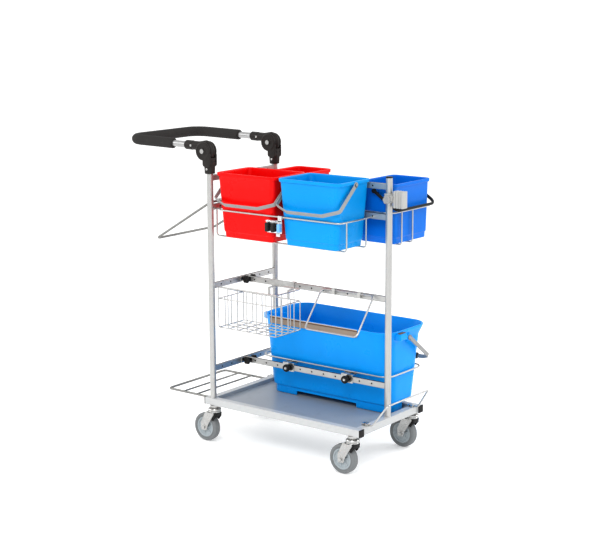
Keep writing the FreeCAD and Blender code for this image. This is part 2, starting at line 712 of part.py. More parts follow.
def tub():
    """Large tub: foot with a slot cut under the front, tapered body, and a deep flared rim."""
    low, step, neck, top = TUB_Z

    body = loft((TUB_FOOT_X, TUB_FOOT_Y, low, 34), (TUB_FOOT_X, TUB_FOOT_Y, step, 36),
                (TUB_LOW_X, TUB_LOW_Y, step + 5, 40), (TUB_TOP_X, TUB_TOP_Y, neck, 52),
                (grow(TUB_RIM_X, -4), grow(TUB_RIM_Y, -4), top, 60))
    band_low = (grow(TUB_RIM_X, -1), grow(TUB_RIM_Y, -1), top - 12, 62)
    band_top = (TUB_RIM_X, TUB_RIM_Y, top, 63)
    body = body.fuse(loft(band_low, band_top))
    for x in (TUB_RIM_X[0], TUB_RIM_X[1]):
        side = math.copysign(1, x)
        lug = box(sorted((x - side * 30, x + side * 16)), (60, 100), (404, 426))
        lug = lug.makeFillet(9, [e for e in lug.Edges
                                 if abs(e.CenterOfMass.x - x - side * 16) < 0.1 and e.Length < 23])
        boss = rod((x, TUB_PIVOT_Y, TUB_PIVOT_Z), (x - side * 24, TUB_PIVOT_Y, TUB_PIVOT_Z), 14)
        body = body.fuse([lug, boss])
    slot = box((-112, 146), (TUB_FOOT_Y[0] - 20, TUB_FOOT_Y[1] + 50), (low - 1, step - 1))
    pocket = loft((grow(TUB_FOOT_X, -4), grow(TUB_FOOT_Y, -4), low - 1, 30),
                  (grow(TUB_FOOT_X, -4), grow(TUB_FOOT_Y, -4), step - 1, 32))
    hollow = loft((grow(TUB_LOW_X, -TUB_WALL), grow(TUB_LOW_Y, -TUB_WALL), step + 3, 37),
                  (grow(TUB_TOP_X, -TUB_WALL), grow(TUB_TOP_Y, -TUB_WALL), neck, 49),
                  (grow(TUB_RIM_X, -TUB_WALL - 4), grow(TUB_RIM_Y, -TUB_WALL - 4), top, 57))
    mouth = loft((grow(TUB_RIM_X, -TUB_WALL - 4), grow(TUB_RIM_Y, -TUB_WALL - 4), top - 0.2, 57),
                 (grow(TUB_RIM_X, -TUB_WALL - 4), grow(TUB_RIM_Y, -TUB_WALL - 4), top + 5, 57))
    body = body.cut(hollow).cut(mouth).cut(pocket).cut(slot)
    for x in (TUB_RIM_X[0], TUB_RIM_X[1]):
        side = math.copysign(1, x)
        start = (x + side * 5, TUB_PIVOT_Y, TUB_PIVOT_Z)
        body = body.cut(rod(start, (x - side * 12, TUB_PIVOT_Y, TUB_PIVOT_Z), PIN_R + RUNNING))
    return [body.removeSplitter()]


def tub_bail():
    centre = sum(TUB_RIM_X) / 2
    half = (TUB_RIM_X[1] - TUB_RIM_X[0]) / 2 + BAIL_GAP
    return [strap_bail((centre, TUB_PIVOT_Y, TUB_PIVOT_Z), half, TUB_REACH, TUB_SHOULDER, 246, TUB_DROOP, 1)]


def tub_grip():
    """Round grip threaded on the middle of the tub's bail."""
    centre = sum(TUB_RIM_X) / 2
    turn = math.radians(TUB_DROOP)
    out = TUB_REACH - BAIL_THICK / 2
    y = TUB_PIVOT_Y + out * math.cos(turn)
    z = TUB_PIVOT_Z - out * math.sin(turn)
    grip = rod((centre - 225, y, z), (centre + 225, y, z), 11)
    strap_space = box(around(0, 250), around(0, BAIL_THICK / 2 + 0.02), around(0, BAIL_WIDE / 2 + 0.02))
    strap_space.rotate(V(0, 0, 0), V(1, 0, 0), -TUB_DROOP)
    strap_space.translate(V(centre, y, z))
    return [grip.cut(strap_space)]


def tub_strips():
    """Beige strip on the near rim, and the pad on the right lug."""
    face = TUB_RIM_Y[0] - 0.2
    strip = box((-195, 178), (face - 1.6, face), (TUB_Z[3] - 27, TUB_Z[3] - 1))
    pad = box((TUB_RIM_X[1] + 1, TUB_RIM_X[1] + 13), (64, 96), (426, 428))
    return [strip, pad]


def basket():
    """Hanging wire basket: floor and side wires in both directions, two rings, hanger plate."""
    x, y = BASKET_X, BASKET_Y
    low, ring, top = BASKET_Z
    wire = 1.8
    count_x = 6
    count_y = 4
    pieces = []
    for k in range(1, count_x):
        px = x[0] + (x[1] - x[0]) * k / count_x
        pieces.append(bent_rod([(px, y[0], top), (px, y[0], low), (px, y[1], low), (px, y[1], ring)], wire, 6))
    for k in range(1, count_y):
        py = y[0] + (y[1] - y[0]) * k / count_y
        z = low + 1.5
        pieces.append(bent_rod([(x[0], py, ring), (x[0], py, z), (x[1], py, z), (x[1], py, top)], wire, 6))
    for px in x:
        pieces.append(bent_rod([(px, y[0], top), (px, y[0], low), (px, y[1], low), (px, y[1], ring)], wire, 6))
    rings = [ring_rod(x, y, ring, wire, 5), ring_rod(x, y, low + 0.7, wire, 5)]
    over = bent_rod([(x[0], y[1], ring), (x[0], y[0], top), (x[1], y[0], top), (x[1], y[1], top),
                     (x[1] - 70, y[1], top)], 2.5, 6)
    plate_x = (-172.0, -72.0)
    pieces.append(box(plate_x, (-BAR_FACE - 2.2, -BAR_FACE - 0.6), (MID - 12, MID + 12)))
    for px in (plate_x[0] + 8, plate_x[1] - 8):
        lip_x = around(px, 7)
        far = BAR_FACE + 0.6
        pieces.append(box(lip_x, (-BAR_FACE - 2.2, far + 1.6), (MID + BAR_HIGH / 2 + 0.4, MID + 12)))
        pieces.append(box(lip_x, (far, far + 1.6), (MID, MID + 12)))
        pieces.append(box(around(px, 5), (y[1] - 1, -BAR_FACE - 1), (top - 12, top - 9)))
        pieces.append(box(around(px, 5), (y[1] - 1.2, y[1] + 1.2), (ring, top - 9)))
    return [rings[0].fuse(rings[1:] + [over] + pieces).removeSplitter()]


def clip_bracket():
    """Bent plate hooked over the near cradle's front wire."""
    front = RING_NEAR_Y - WIRE - 0.3
    back = RING_NEAR_Y + WIRE + 0.3
    over = RING_Z + WIRE + 0.3
    strap_x = (-3, 13)
    pieces = [box(strap_x, (front - 1.6, back + 1.6), (over, over + 1.6)),
              box(strap_x, (back, back + 1.6), (over - 12, over + 1.6)),
              box(strap_x, (front - 1.6, front), (808, over + 1.6)),
              box((-50, 14), (front - 1.6, front), (768, 810)),
              box((-10, 6), (front - 1.6, front), (757, 769))]
    return [pieces[0].fuse(pieces[1:]).removeSplitter()]


def clip_jaws():
    """Two rubber blocks that pinch a tool's handle."""
    front = RING_NEAR_Y - WIRE - 0.3 - 1.6
    jaws = []
    for x in ((-48, -36), (-23, -12)):
        jaw = box(x, (front - 14, front), (772, 801))
        jaws.append(jaw.makeFillet(3, [e for e in jaw.Edges if abs(e.CenterOfMass.y - front + 14) < 0.1]))
    return jaws


def clip_spring():
    """Plastic block beside the jaws."""
    front = RING_NEAR_Y - WIRE - 0.3 - 1.6
    return [box((0, 12), (front - 12, front), (773, 800))]


def post_clamp():
    """Collar on the right post that carries a ribbed tool holder."""
    z = (875, 905)
    collar = pipe((RIGHT_X, 0, z[0]), (RIGHT_X, 0, z[1]), 16, POST_R + 0.02)
    lug = box(around(CLAMP_X, 9), (-22, -4), (z[0] + 5, z[1] - 5))
    arm = box((RIGHT_X + 13, RIGHT_X + 24), around(0, 9), (z[0] + 4, z[1] - 4))
    plate = box((RIGHT_X + 23, RIGHT_X + 62), around(0, 13), (861, 916))
    for x in (RIGHT_X + 33, RIGHT_X + 52):
        plate = plate.cut(rod((x, -15, 860), (x, -15, 917), 6))
    post = rod((RIGHT_X, 0, z[0] - 1), (RIGHT_X, 0, z[1] + 1), POST_R + 0.02)
    body = collar.fuse([lug, arm, plate]).removeSplitter().cut(post)
    return [body.cut(rod((CLAMP_X, -25, 890), (CLAMP_X, -12, 890), HOLE_R))]


def move_to_origin(shapes):
    """Put the origin on the floor under the middle of the whole cart's box."""
    points = []
    for shape in shapes:
        points += shape.tessellate(0.2)[0]
    x = (min(p.x for p in points) + max(p.x for p in points)) / 2
    y = (min(p.y for p in points) + max(p.y for p in points)) / 2
    z = min(p.z for p in points)
    for shape in shapes:
        shape.translate(V(-x, -y, -z))
    return (-x, -y, -z)


nodes = {
    "base_rails": base_rails(),
    "base_cross_tubes": base_cross_tubes(),
    "end_caps": end_caps(),
    "tray": tray(),
    "left_posts": left_posts(),
    "right_post": right_post(),
    "cross_bars": cross_bars(),
    "long_bars": long_bars(),
    "junction_brackets": junction_brackets(),
    "frame_screws": frame_screws(),
    "left_wire_rack": left_wire_rack(),
    "right_wire_bumper": right_wire_bumper(),
    "bag_hoop": bag_hoop(),
    "front_hoop": front_hoop(),
    "wire_clips": bumper_clips() + hoop_clips(),
    "near_cradle": near_cradle(),
    "far_cradle": far_cradle(),
    "guard_ring": guard_ring(),
    "guard_brackets": guard_brackets(),
    "knuckle_bases": [knuckle_base(-1), knuckle_base(1)],
    "knuckle_arms": [knuckle_arm(-1), knuckle_arm(1)],
    "handle_tube": handle_tube(),
    "foam_grip": foam_grip(),
    "red_bucket": [bucket(RED_X, NEAR_Y, NEAR_RIM, NEAR_FOOT, NEAR_Z, "x", NEAR_PIVOT_Z)],
    "sky_bucket": [bucket(SKY_X, NEAR_Y, NEAR_RIM, NEAR_FOOT, NEAR_Z, "x", NEAR_PIVOT_Z)],
    "far_red_bucket": [bucket(FAR_RED_X, FAR_Y, FAR_RIM, FAR_FOOT, FAR_Z, "y", FAR_PIVOT_Z)],
    "navy_bucket": [bucket(NAVY_X, FAR_Y, FAR_RIM, FAR_FOOT, FAR_Z, "y", FAR_PIVOT_Z)],
    "red_bail": [near_bail(RED_X)],
    "sky_bail": [near_bail(SKY_X)],
    "far_red_bail": [far_bail(FAR_RED_X)],
    "navy_bail": [far_bail(NAVY_X)],
    "tub": tub(),
    "tub_bail": tub_bail(),
    "tub_grip": tub_grip(),
    "tub_strips": tub_strips(),
    "basket": basket(),
    "clip_bracket": clip_bracket(),
    "clip_jaws": clip_jaws(),
    "clip_spring": clip_spring(),
    "post_clamp": post_clamp(),
    "clamp_knob": [star_knob(CLAMP_X, -22.4, 890, -1, 8)],
}

mounts = []
for corner_x, corner_y, place in ((-1, -1, "left_near"), (-1, 1, "left_far"),
                                  (1, -1, "right_near"), (1, 1, "right_far")):
    spot = (corner_x * CASTER_X, corner_y * CASTER_Y)
    mounts.append(caster_mount(*spot))
    nodes["fork_" + place] = [caster_fork(*spot)]
    nodes["hub_" + place] = [wheel_hub(*spot)]
    nodes["tyre_" + place] = [wheel_tyre(*spot)]
nodes["caster_mounts"] = mounts

for name, level in (("low", LOW), ("mid", MID)):
    nodes["knob_" + name + "_near"] = [star_knob(JOINT_HOLE_X, -BAR_FACE - 2.2, level, -1, 6)]
    nodes["knob_" + name + "_far"] = [star_knob(JOINT_HOLE_X, BAR_FACE + 2.2, level, 1, 6)]
for name, knob_x in zip(("left", "right"), GUARD_KNOB_X):
    nodes["knob_guard_" + name] = [star_knob(knob_x, -BAR_FACE - 1.8, LOW, -1, 10)]

os.makedirs("parts", exist_ok=True)
solids = {name: Part.makeCompound(pieces) if len(pieces) > 1 else pieces[0]
          for name, pieces in nodes.items()}
shift = move_to_origin(list(solids.values()))
for name, shape in solids.items():
    shape.exportStep("parts/" + name + ".step")
print(len(solids), "nodes, moved by", [round(value, 3) for value in shift])
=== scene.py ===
import json
import math

import bpy
import numpy as np
from mathutils import Matrix, Vector

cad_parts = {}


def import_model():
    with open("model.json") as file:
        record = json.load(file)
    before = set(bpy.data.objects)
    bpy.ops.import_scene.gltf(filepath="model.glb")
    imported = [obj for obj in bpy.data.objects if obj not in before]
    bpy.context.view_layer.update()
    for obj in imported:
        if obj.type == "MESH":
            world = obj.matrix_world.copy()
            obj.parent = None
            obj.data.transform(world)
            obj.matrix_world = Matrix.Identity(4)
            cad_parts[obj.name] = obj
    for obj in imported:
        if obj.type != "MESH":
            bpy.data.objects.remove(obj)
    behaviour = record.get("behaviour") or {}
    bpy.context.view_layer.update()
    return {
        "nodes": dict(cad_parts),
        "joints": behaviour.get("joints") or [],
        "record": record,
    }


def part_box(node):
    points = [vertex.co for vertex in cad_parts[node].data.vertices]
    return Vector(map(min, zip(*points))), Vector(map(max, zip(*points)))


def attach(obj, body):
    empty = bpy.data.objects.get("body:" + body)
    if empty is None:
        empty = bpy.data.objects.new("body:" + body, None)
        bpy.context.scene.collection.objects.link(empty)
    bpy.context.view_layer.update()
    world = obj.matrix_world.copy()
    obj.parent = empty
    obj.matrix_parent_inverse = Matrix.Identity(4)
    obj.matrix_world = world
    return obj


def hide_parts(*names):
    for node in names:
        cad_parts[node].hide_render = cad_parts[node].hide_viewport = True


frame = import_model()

# Sizes and places are millimetres, measured from BASE, the point on the floor under the middle
# of the base, and piece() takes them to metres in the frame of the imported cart. Distances in
# materials, for lamps and for the camera are metres.
MM = 0.001
ACROSS = np.array([1.0, 0.0, 0.0])
DEEP = np.array([0.0, 1.0, 0.0])
UP = np.array([0.0, 0.0, 1.0])
BASE = sum(np.array(corner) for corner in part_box("base_rails")) / 2
BASE[2] = 0.0
SIDES = (-1, 1)
CORNERS = ("left_near", "left_far", "right_near", "right_far")


def extent(node):
    """Lowest and highest corner of a node's box."""
    return tuple((np.array(corner) - BASE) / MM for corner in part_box(node))


def pivot(joint_name):
    """Where a joint turns."""
    joint = next(joint for joint in frame["joints"] if joint["name"] == joint_name)
    return (np.array(joint["pos_m"]) - BASE) / MM


# ---------------------------------------------------------------- surfaces

def closed(rings, along=False):
    """Surface through a grid of points, one ring per row.

    Each ring closes on itself. The last ring joins the first when along is true; otherwise a
    fan about its middle shuts each end. Six times the volume is the sum over triangles of
    a . (b x c), and a negative one turns every face round, so that faces point outwards.
    """
    count, around = rings.shape[:2]
    row, spoke = np.meshgrid(np.arange(count if along else count - 1), np.arange(around), indexing="ij")
    after, beside = (row + 1) % count, (spoke + 1) % around
    corners = [row * around + spoke, row * around + beside, after * around + beside, after * around + spoke]
    quads = np.stack(corners, -1).reshape(-1, 4)
    points = rings.reshape(-1, 3)
    fans = np.zeros((0, 3), int)
    if not along:
        edge = np.arange(around)
        nearby = (edge + 1) % around
        last = (count - 1) * around
        hubs = len(points) + np.array([0, 1])
        start = np.stack([np.full(around, hubs[0]), nearby, edge], -1)
        end = np.stack([np.full(around, hubs[1]), edge + last, nearby + last], -1)
        fans = np.vstack([start, end])
        points = np.vstack([points, rings[0].mean(0), rings[-1].mean(0)])
    triangles = np.vstack([quads[:, :3], quads[:, [0, 2, 3]], fans])
    a, b, c = (points[triangles[:, k]] - points[0] for k in range(3))
    if np.einsum("ij,ij->", a, np.cross(b, c)) < 0:
        quads, fans = quads[:, ::-1], fans[:, ::-1]
    return points, quads.tolist() + fans.tolist()


def outlines(x0, x1, y0, y1, corner, z, arc=9, shares=(0.02, 0.5, 0.98)):
    """Rings of rounded rectangles, one per row of the given columns.

    A corner is centre + corner radius * (cos, sin) over a quarter turn. Each straight run has
    points at the given shares of its length; those near its ends keep flat sides flat.
    """
    x0, x1, y0, y1, corner, z = (np.asarray(column, float)[:, None] for column in
                                 np.broadcast_arrays(x0, x1, y0, y1, corner, z))
    turn = np.linspace(0, np.pi / 2, arc)
    shares = np.array(shares)
    arcs = []
    for quarter, (right, far) in enumerate(((1, 1), (0, 1), (0, 0), (1, 0))):
        angle = turn + quarter * np.pi / 2
        middle_x = x1 - corner if right else x0 + corner
        middle_y = y1 - corner if far else y0 + corner
        arcs.append(np.stack([middle_x + corner * np.cos(angle), middle_y + corner * np.sin(angle)], -1))
    loop = []
    for now, following in zip(arcs, arcs[1:] + arcs[:1]):
        start, end = now[:, -1:], following[:, :1]
        loop += [now, start + (end - start) * shares[None, :, None]]
    flat = np.concatenate(loop, 1)
    return np.concatenate([flat, np.broadcast_to(z[:, :, None], flat.shape[:2] + (1,))], -1)


def block(low, high, corner, edge, along=2):
    """Rounded block: rounded rectangles stacked along an axis, drawn in by
    edge * (1 - sin t) over the last stretch edge * (1 - cos t) at both ends. Their corner
    radius shrinks by as much, but not below three tenths of itself."""
    order = {0: [1, 2, 0], 1: [2, 0, 1], 2: [0, 1, 2]}[along]
    low, high = np.array(low)[order], np.array(high)[order]
    turn = np.linspace(0, np.pi / 2, 4)
    inset = edge * np.concatenate([1 - np.sin(turn), 1 - np.cos(turn)])
    z = np.concatenate([low[2] + edge * (1 - np.cos(turn)), high[2] - edge * (1 - np.sin(turn))])
    rings = outlines(low[0] + inset, high[0] - inset, low[1] + inset, high[1] - inset,
                     np.maximum(corner - inset, corner * 0.3), z, 5)
    return closed(rings[..., np.argsort(order)])


def lathe(profile, centre, axis=DEEP, sides=40, lobes=0, depth=0.0):
    """Surface of revolution: at turn t a profile point (radius, along) lies at
    centre + along * axis + radius * (1 + depth * cos(lobes * t)) * (cos t, sin t)."""
    profile = np.array(profile, float)
    side = np.cross(axis, UP if abs(axis[2]) < 0.9 else ACROSS)
    side = side / np.linalg.norm(side)
    other = np.cross(axis, side)
    turn = np.linspace(0, 2 * np.pi, sides, endpoint=False)
    swell = 1 + depth * np.cos(lobes * turn)
    spokes = (np.cos(turn)[:, None] * side + np.sin(turn)[:, None] * other) * swell[:, None]
    return closed(np.array(centre) + profile[:, 1, None, None] * axis + profile[:, 0, None, None] * spokes)


def hoop(profile, centre, sides):
    """Ring about an axis that runs deep, whose profile closes on itself: at turn t a profile
    point (radius, along) lies at centre + along * deep + radius * (cos t across + sin t up)."""
    profile = np.array(profile, float)
    turn = np.linspace(0, 2 * np.pi, sides, endpoint=False)
    spokes = np.cos(turn)[:, None] * ACROSS + np.sin(turn)[:, None] * UP
    return closed(centre + profile[:, 1, None, None] * DEEP + profile[:, 0, None, None] * spokes, True)


def disc(radius, start, end, edge, hollow=0.0, hollow_r=0.0):
    """Profile of a round plate between two distances, its rims rounded by quarter circles,
    with an optional shallow dish of hollow_r in its far face."""
    turn = np.linspace(0, np.pi / 2, 4)
    low = np.stack([radius - edge + edge * np.sin(turn), start + edge * (1 - np.cos(turn))], -1)
    high = np.stack([radius - edge + edge * np.cos(turn), end - edge * (1 - np.sin(turn))], -1)
    rows = np.vstack([low, high])
    if hollow:
        dish = [(hollow_r + hollow, end), (hollow_r, end - hollow), (hollow_r * 0.5, end - hollow)]
        rows = np.vstack([rows, dish])
    return rows


def carry(path, normal, profile, scale=1.0, loop=False):
    """A profile carried along a path in one plane: point + first * side + second * normal,
    where side is the path's direction crossed with the plane's normal."""
    if loop:
        way = np.roll(path, -1, 0) - np.roll(path, 1, 0)
    else:
        way = np.gradient(path, axis=0)
    way = way / np.linalg.norm(way, axis=1)[:, None]
    side = np.cross(way, normal)
    scale = np.broadcast_to(np.asarray(scale, float).reshape(-1, 1) if np.ndim(scale) < 2 else scale,
                            (len(path), 2))
    return closed(path[:, None] + profile[None, :, :1] * (side * scale[:, :1])[:, None]
                  + profile[None, :, 1:] * (scale[:, 1:, None] * normal), loop)


def round_profile(radius, sides):
    """Circle as a profile to carry: radius * (cos t, sin t)."""
    turn = np.linspace(0, 2 * np.pi, sides, endpoint=False)
    return radius * np.stack([np.cos(turn), np.sin(turn)], -1)


def bent(corners, radius, steps=10):
    """Straight runs joined by arcs. With c the arc's centre, p and q its ends seen from c and
    w the angle between them, a point is c + (p sin((1 - t) w) + q sin(t w)) / sin w."""
    corners = [np.array(corner, float) for corner in corners]
    t = np.linspace(0, 1, steps)[:, None]
    rows = [corners[0][None]]
    for before, corner, after in zip(corners, corners[1:], corners[2:]):
        back = (before - corner) / np.linalg.norm(before - corner)
        ahead = (after - corner) / np.linalg.norm(after - corner)
        half = np.arccos(np.clip(back @ ahead, -1, 1)) / 2
        centre = corner + (back + ahead) / np.linalg.norm(back + ahead) * radius / np.sin(half)
        p = corner + back * radius / np.tan(half) - centre
        q = corner + ahead * radius / np.tan(half) - centre
        w = np.pi - 2 * half
        rows.append(centre + (p * np.sin((1 - t) * w) + q * np.sin(t * w)) / np.sin(w))
    rows.append(corners[-1][None])
    return np.vstack(rows)


def eased(path, radius, ends):
    """Sizes along a path that shrink over its last stretch at each end like a quarter circle."""
    along = np.concatenate([[0], np.cumsum(np.linalg.norm(np.diff(path, axis=0), axis=1))])
    edge = np.minimum(along, along[-1] - along) / ends
    return (radius - ends + ends * np.sqrt(1 - (1 - np.clip(edge, 0, 1)) ** 2)) / radius


def finer(path, step=4.0):
    """The same line with points an even step apart."""
    along = np.concatenate([[0], np.cumsum(np.linalg.norm(np.diff(path, axis=0), axis=1))])
    places = np.linspace(0, along[-1], max(2, int(along[-1] / step)))
    return np.stack([np.interp(places, along, path[:, k]) for k in range(3)], -1)


def piece(name, shapes, body, slot, nodes=(), material=None, crease=38.0):
    """Makes one visible piece of closed surfaces that rides on a body and replaces nodes."""
    points, faces, start = [], [], 0
    for spots, polygons in shapes:
        points.append(spots)
        faces += [[corner + start for corner in polygon] for polygon in polygons]
        start += len(spots)
    mesh = bpy.data.meshes.new(name)
    mesh.from_pydata((np.vstack(points) * MM + BASE).tolist(), [], faces)
    mesh.shade_smooth()
    mesh.set_sharp_from_angle(angle=math.radians(crease))
    mesh.materials.append(MATERIALS[material or slot])
    made = bpy.data.objects.new(name + "_shape" if name in frame["nodes"] else name, mesh)
    bpy.context.scene.collection.objects.link(made)
    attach(made, body)
    if nodes:
        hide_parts(*nodes)
    return made


# ---------------------------------------------------------------- shader writing

class Value:
    """A number that varies over the surface. Arithmetic on it adds the Math nodes."""

    def __init__(self, finish, socket):
        self.finish = finish
        self.socket = socket

    def _math(self, operation, *values):
        node = self.finish.node("ShaderNodeMath", {"operation": operation}, dict(enumerate(values)))
        return Value(self.finish, node.outputs[0])

    def __add__(self, other):
        return self._math("ADD", self, other)

    def __sub__(self, other):
        return self._math("SUBTRACT", self, other)

    def __rsub__(self, other):
        return self._math("SUBTRACT", other, self)

    def __mul__(self, other):
        return self._math("MULTIPLY", self, other)

    def __abs__(self):
        return self._math("ABSOLUTE", self)

    __radd__ = __add__
    __rmul__ = __mul__

    def step(self, low, high):
        """0 at low, 1 at high and a smooth rise between them."""
        node = self.finish.node("ShaderNodeMapRange", {"interpolation_type": "SMOOTHSTEP"},
                                {"Value": self, "From Min": low, "From Max": high})
        return Value(self.finish, node.outputs["Result"])


class Finish:
    """A material being written: node() adds any node, and the rest are patterns that finishes
    share."""

    def __init__(self, name, color, rough, metal=0.0, coat=0.0, specular=0.5):
        self.material = bpy.data.materials.new(name)
        self.material.use_nodes = True
        self.tree = self.material.node_tree
        self.surface = self.tree.nodes["Principled BSDF"]
        self.color = color
        self.rough = rough
        self.surface.inputs["Base Color"].default_value = (*color, 1)
        self.surface.inputs["Roughness"].default_value = rough
        self.surface.inputs["Metallic"].default_value = metal
        self.surface.inputs["Coat Weight"].default_value = coat
        self.surface.inputs["Specular IOR Level"].default_value = specular
        self.place = self.tree.nodes.new("ShaderNodeTexCoord").outputs["Object"]

    def node(self, kind, settings=None, inputs=None):
        node = self.tree.nodes.new(kind)
        for name, setting in (settings or {}).items():
            setattr(node, name, setting)
        for name, value in (inputs or {}).items():
            self.feed(node.inputs[name], value)
        return node

    def feed(self, socket, value):
        if isinstance(value, Value):
            value = value.socket
        if isinstance(value, bpy.types.NodeSocket):
            self.tree.links.new(value, socket)
        else:
            socket.default_value = value

    def stretched(self, x=1.0, y=1.0, z=1.0):
        """Object coordinates, scaled on each axis."""
        return self.node("ShaderNodeMapping", None, {"Vector": self.place, "Scale": (x, y, z)}).outputs[0]

    def noise(self, scale, detail=3.0, where=None, rough=0.55):
        """Cloudy value about a half, with scale clouds to the metre."""
        inputs = {"Vector": where or self.place, "Scale": scale, "Detail": detail, "Roughness": rough}
        return Value(self, self.node("ShaderNodeTexNoise", None, inputs).outputs["Fac"])

    def cells(self, scale):
        """Distance from the middle of the nearest cell, with scale cells to the metre."""
        inputs = {"Vector": self.place, "Scale": scale}
        return Value(self, self.node("ShaderNodeTexVoronoi", None, inputs).outputs["Distance"])

    def height(self, axis=2):
        """Where the point is along an axis, in metres."""
        return Value(self, self.node("ShaderNodeSeparateXYZ", None, {0: self.place}).outputs[axis])

    def tint(self, amount, towards):
        """Colour that moves from the present one to another by a varying amount."""
        present = self.surface.inputs["Base Color"]
        before = present.links[0].from_socket if present.is_linked else tuple(present.default_value)
        node = self.node("ShaderNodeMix", {"data_type": "RGBA"})
        self.feed(node.inputs["Factor"], amount)
        self.feed(node.inputs["A"], before)
        self.feed(node.inputs["B"], (*towards, 1))
        self.feed(present, node.outputs["Result"])

    def gloss(self, value):
        """Roughness that varies."""
        self.feed(self.surface.inputs["Roughness"], value)

    def relief(self, value, depth, strength):
        """Bump of a varying height, depth metres from 0 to 1."""
        present = self.surface.inputs["Normal"]
        node = self.node("ShaderNodeBump", None, {"Strength": strength, "Distance": depth, "Height": value})
        if present.is_linked:
            self.feed(node.inputs["Normal"], present.links[0].from_socket)
        self.feed(present, node.outputs["Normal"])


def shade(color, factor):
    """The same colour, darker or lighter."""
    return tuple(min(1.0, part * factor) for part in color)


def plastic(name, color, rough, grain=1.0):
    """Moulded plastic: faint flow clouds, a fine spark-eroded grain and a few rubbed, duller
    patches."""
    finish = Finish(name, color, rough, specular=0.2)
    clouds = finish.noise(9, 4).step(0.35, 0.7)
    finish.tint(clouds * 0.35, shade(color, 0.88))
    rubbed = finish.noise(34, 6, rough=0.7).step(0.58, 0.78)
    finish.tint(rubbed * 0.07, tuple(part * 0.8 + 0.12 for part in color))
    finish.gloss(rubbed * 0.16 + (clouds * 0.05 + rough))
    finish.relief(finish.noise(1500, 2), 0.00004 * grain, 0.35)
    finish.relief(finish.noise(60, 2), 0.0004 * grain, 0.12)
    return finish.material


def paint(name, color, rough=0.35):
    """Powder coat: orange-peel relief and slight dirt."""
    finish = Finish(name, color, rough, coat=0.15)
    dirt = finish.noise(16, 6, rough=0.7).step(0.5, 0.8)
    finish.tint(dirt * 0.25, shade(color, 0.78))
    finish.gloss(dirt * 0.15 + rough)
    finish.relief(finish.noise(900, 2), 0.00006, 0.3)
    return finish.material


def brushed(name, color, rough, along, metal):
    """Satin metal with fine lines drawn along the axis whose scale is small."""
    finish = Finish(name, color, rough, metal=metal)
    lines = finish.noise(900, 3, finish.stretched(*along))
    cloud = finish.noise(20, 3).step(0.3, 0.75)
    finish.tint(cloud * 0.2, shade(color, 0.85))
    finish.gloss(lines * 0.16 + (cloud * 0.06 + (rough - 0.08)))
    finish.relief(lines, 0.00002, 0.35)
    return finish.material


def plated(name, color, rough=0.22):
    """Bright plating: blotches of slightly duller metal and tiny pits."""
    finish = Finish(name, color, rough, metal=1.0)
    blotch = finish.noise(70, 5).step(0.35, 0.7)
    finish.tint(blotch * 0.3, shade(color, 0.78))
    finish.gloss(blotch * 0.18 + rough)
    finish.relief(finish.noise(1200, 2), 0.00003, 0.3)
    return finish.material


def rubber(name, color, rough, scale=700.0, depth=0.00008):
    """Matt rubber or foam with fine open cells and paler scuffs."""
    finish = Finish(name, color, rough, specular=0.3)
    scuff = finish.noise(45, 6, rough=0.7).step(0.55, 0.8)
    finish.tint(scuff * 0.3, tuple(part * 0.8 + 0.06 for part in color))
    finish.gloss(scuff * 0.1 + rough)
    finish.relief(finish.cells(scale), depth, 0.5)
    return finish.material


SHADE_LINE_HEIGHT = 0.4240
HIGHLIGHT_LINE_HEIGHT = 0.4289


def banded(name, color):
    """Co-moulded band: a pale painted highlight line on top, a dark brown painted shade line under it, then
    the plain face.
    """
    finish = Finish(name, color, 0.5)
    height = finish.height()
    cloud = finish.noise(40, 4).step(0.35, 0.7)
    finish.tint(cloud * 0.3, shade(color, 0.85))
    # Painted shade: a dark brown line under the top edge. The pad on the right lug lies wholly within its
    # height, so the pad is dark brown all over.
    finish.tint(height.step(SHADE_LINE_HEIGHT - 0.0004, SHADE_LINE_HEIGHT + 0.0004), (0.12, 0.07, 0.045))
    # Painted highlight: a pale line along the band's top edge.
    finish.tint(height.step(HIGHLIGHT_LINE_HEIGHT - 0.0003, HIGHLIGHT_LINE_HEIGHT + 0.0003), (0.62, 0.52, 0.44))
    finish.gloss(cloud * 0.1 + 0.45)
    return finish.material


BAR_INSIDE = 0.00365
CROSS_BAR_FROM_BASE = -0.300


def punched_bar(name, color):
    """Satin tube steel with lines along the bar, and painted shade inside: near-black where the punched holes
    show the enclosed inside.

    Inside is where the point is nearer than BAR_INSIDE to the middle plane of a long or a
    cross bar.
    """
    finish = Finish(name, color, 0.34, metal=0.75)
    lines = finish.noise(900, 3, finish.stretched(0.03, 0.03, 1))
    cloud = finish.noise(24, 4).step(0.3, 0.75)
    finish.tint(cloud * 0.25, shade(color, 0.82))
    finish.gloss(lines * 0.16 + (cloud * 0.08 + 0.26))
    finish.relief(lines, 0.00002, 0.35)
    # Painted shade: the inside of each long and cross bar is tinted near-black, as the shaded inside of an
    # enclosed tube.
    for axis, centre in ((1, BASE[1]), (0, BASE[0] + CROSS_BAR_FROM_BASE)):
        away = abs(finish.height(axis) - centre)
        finish.tint(away.step(BAR_INSIDE + 0.0001, BAR_INSIDE - 0.0001), (0.01, 0.01, 0.012))
    return finish.material


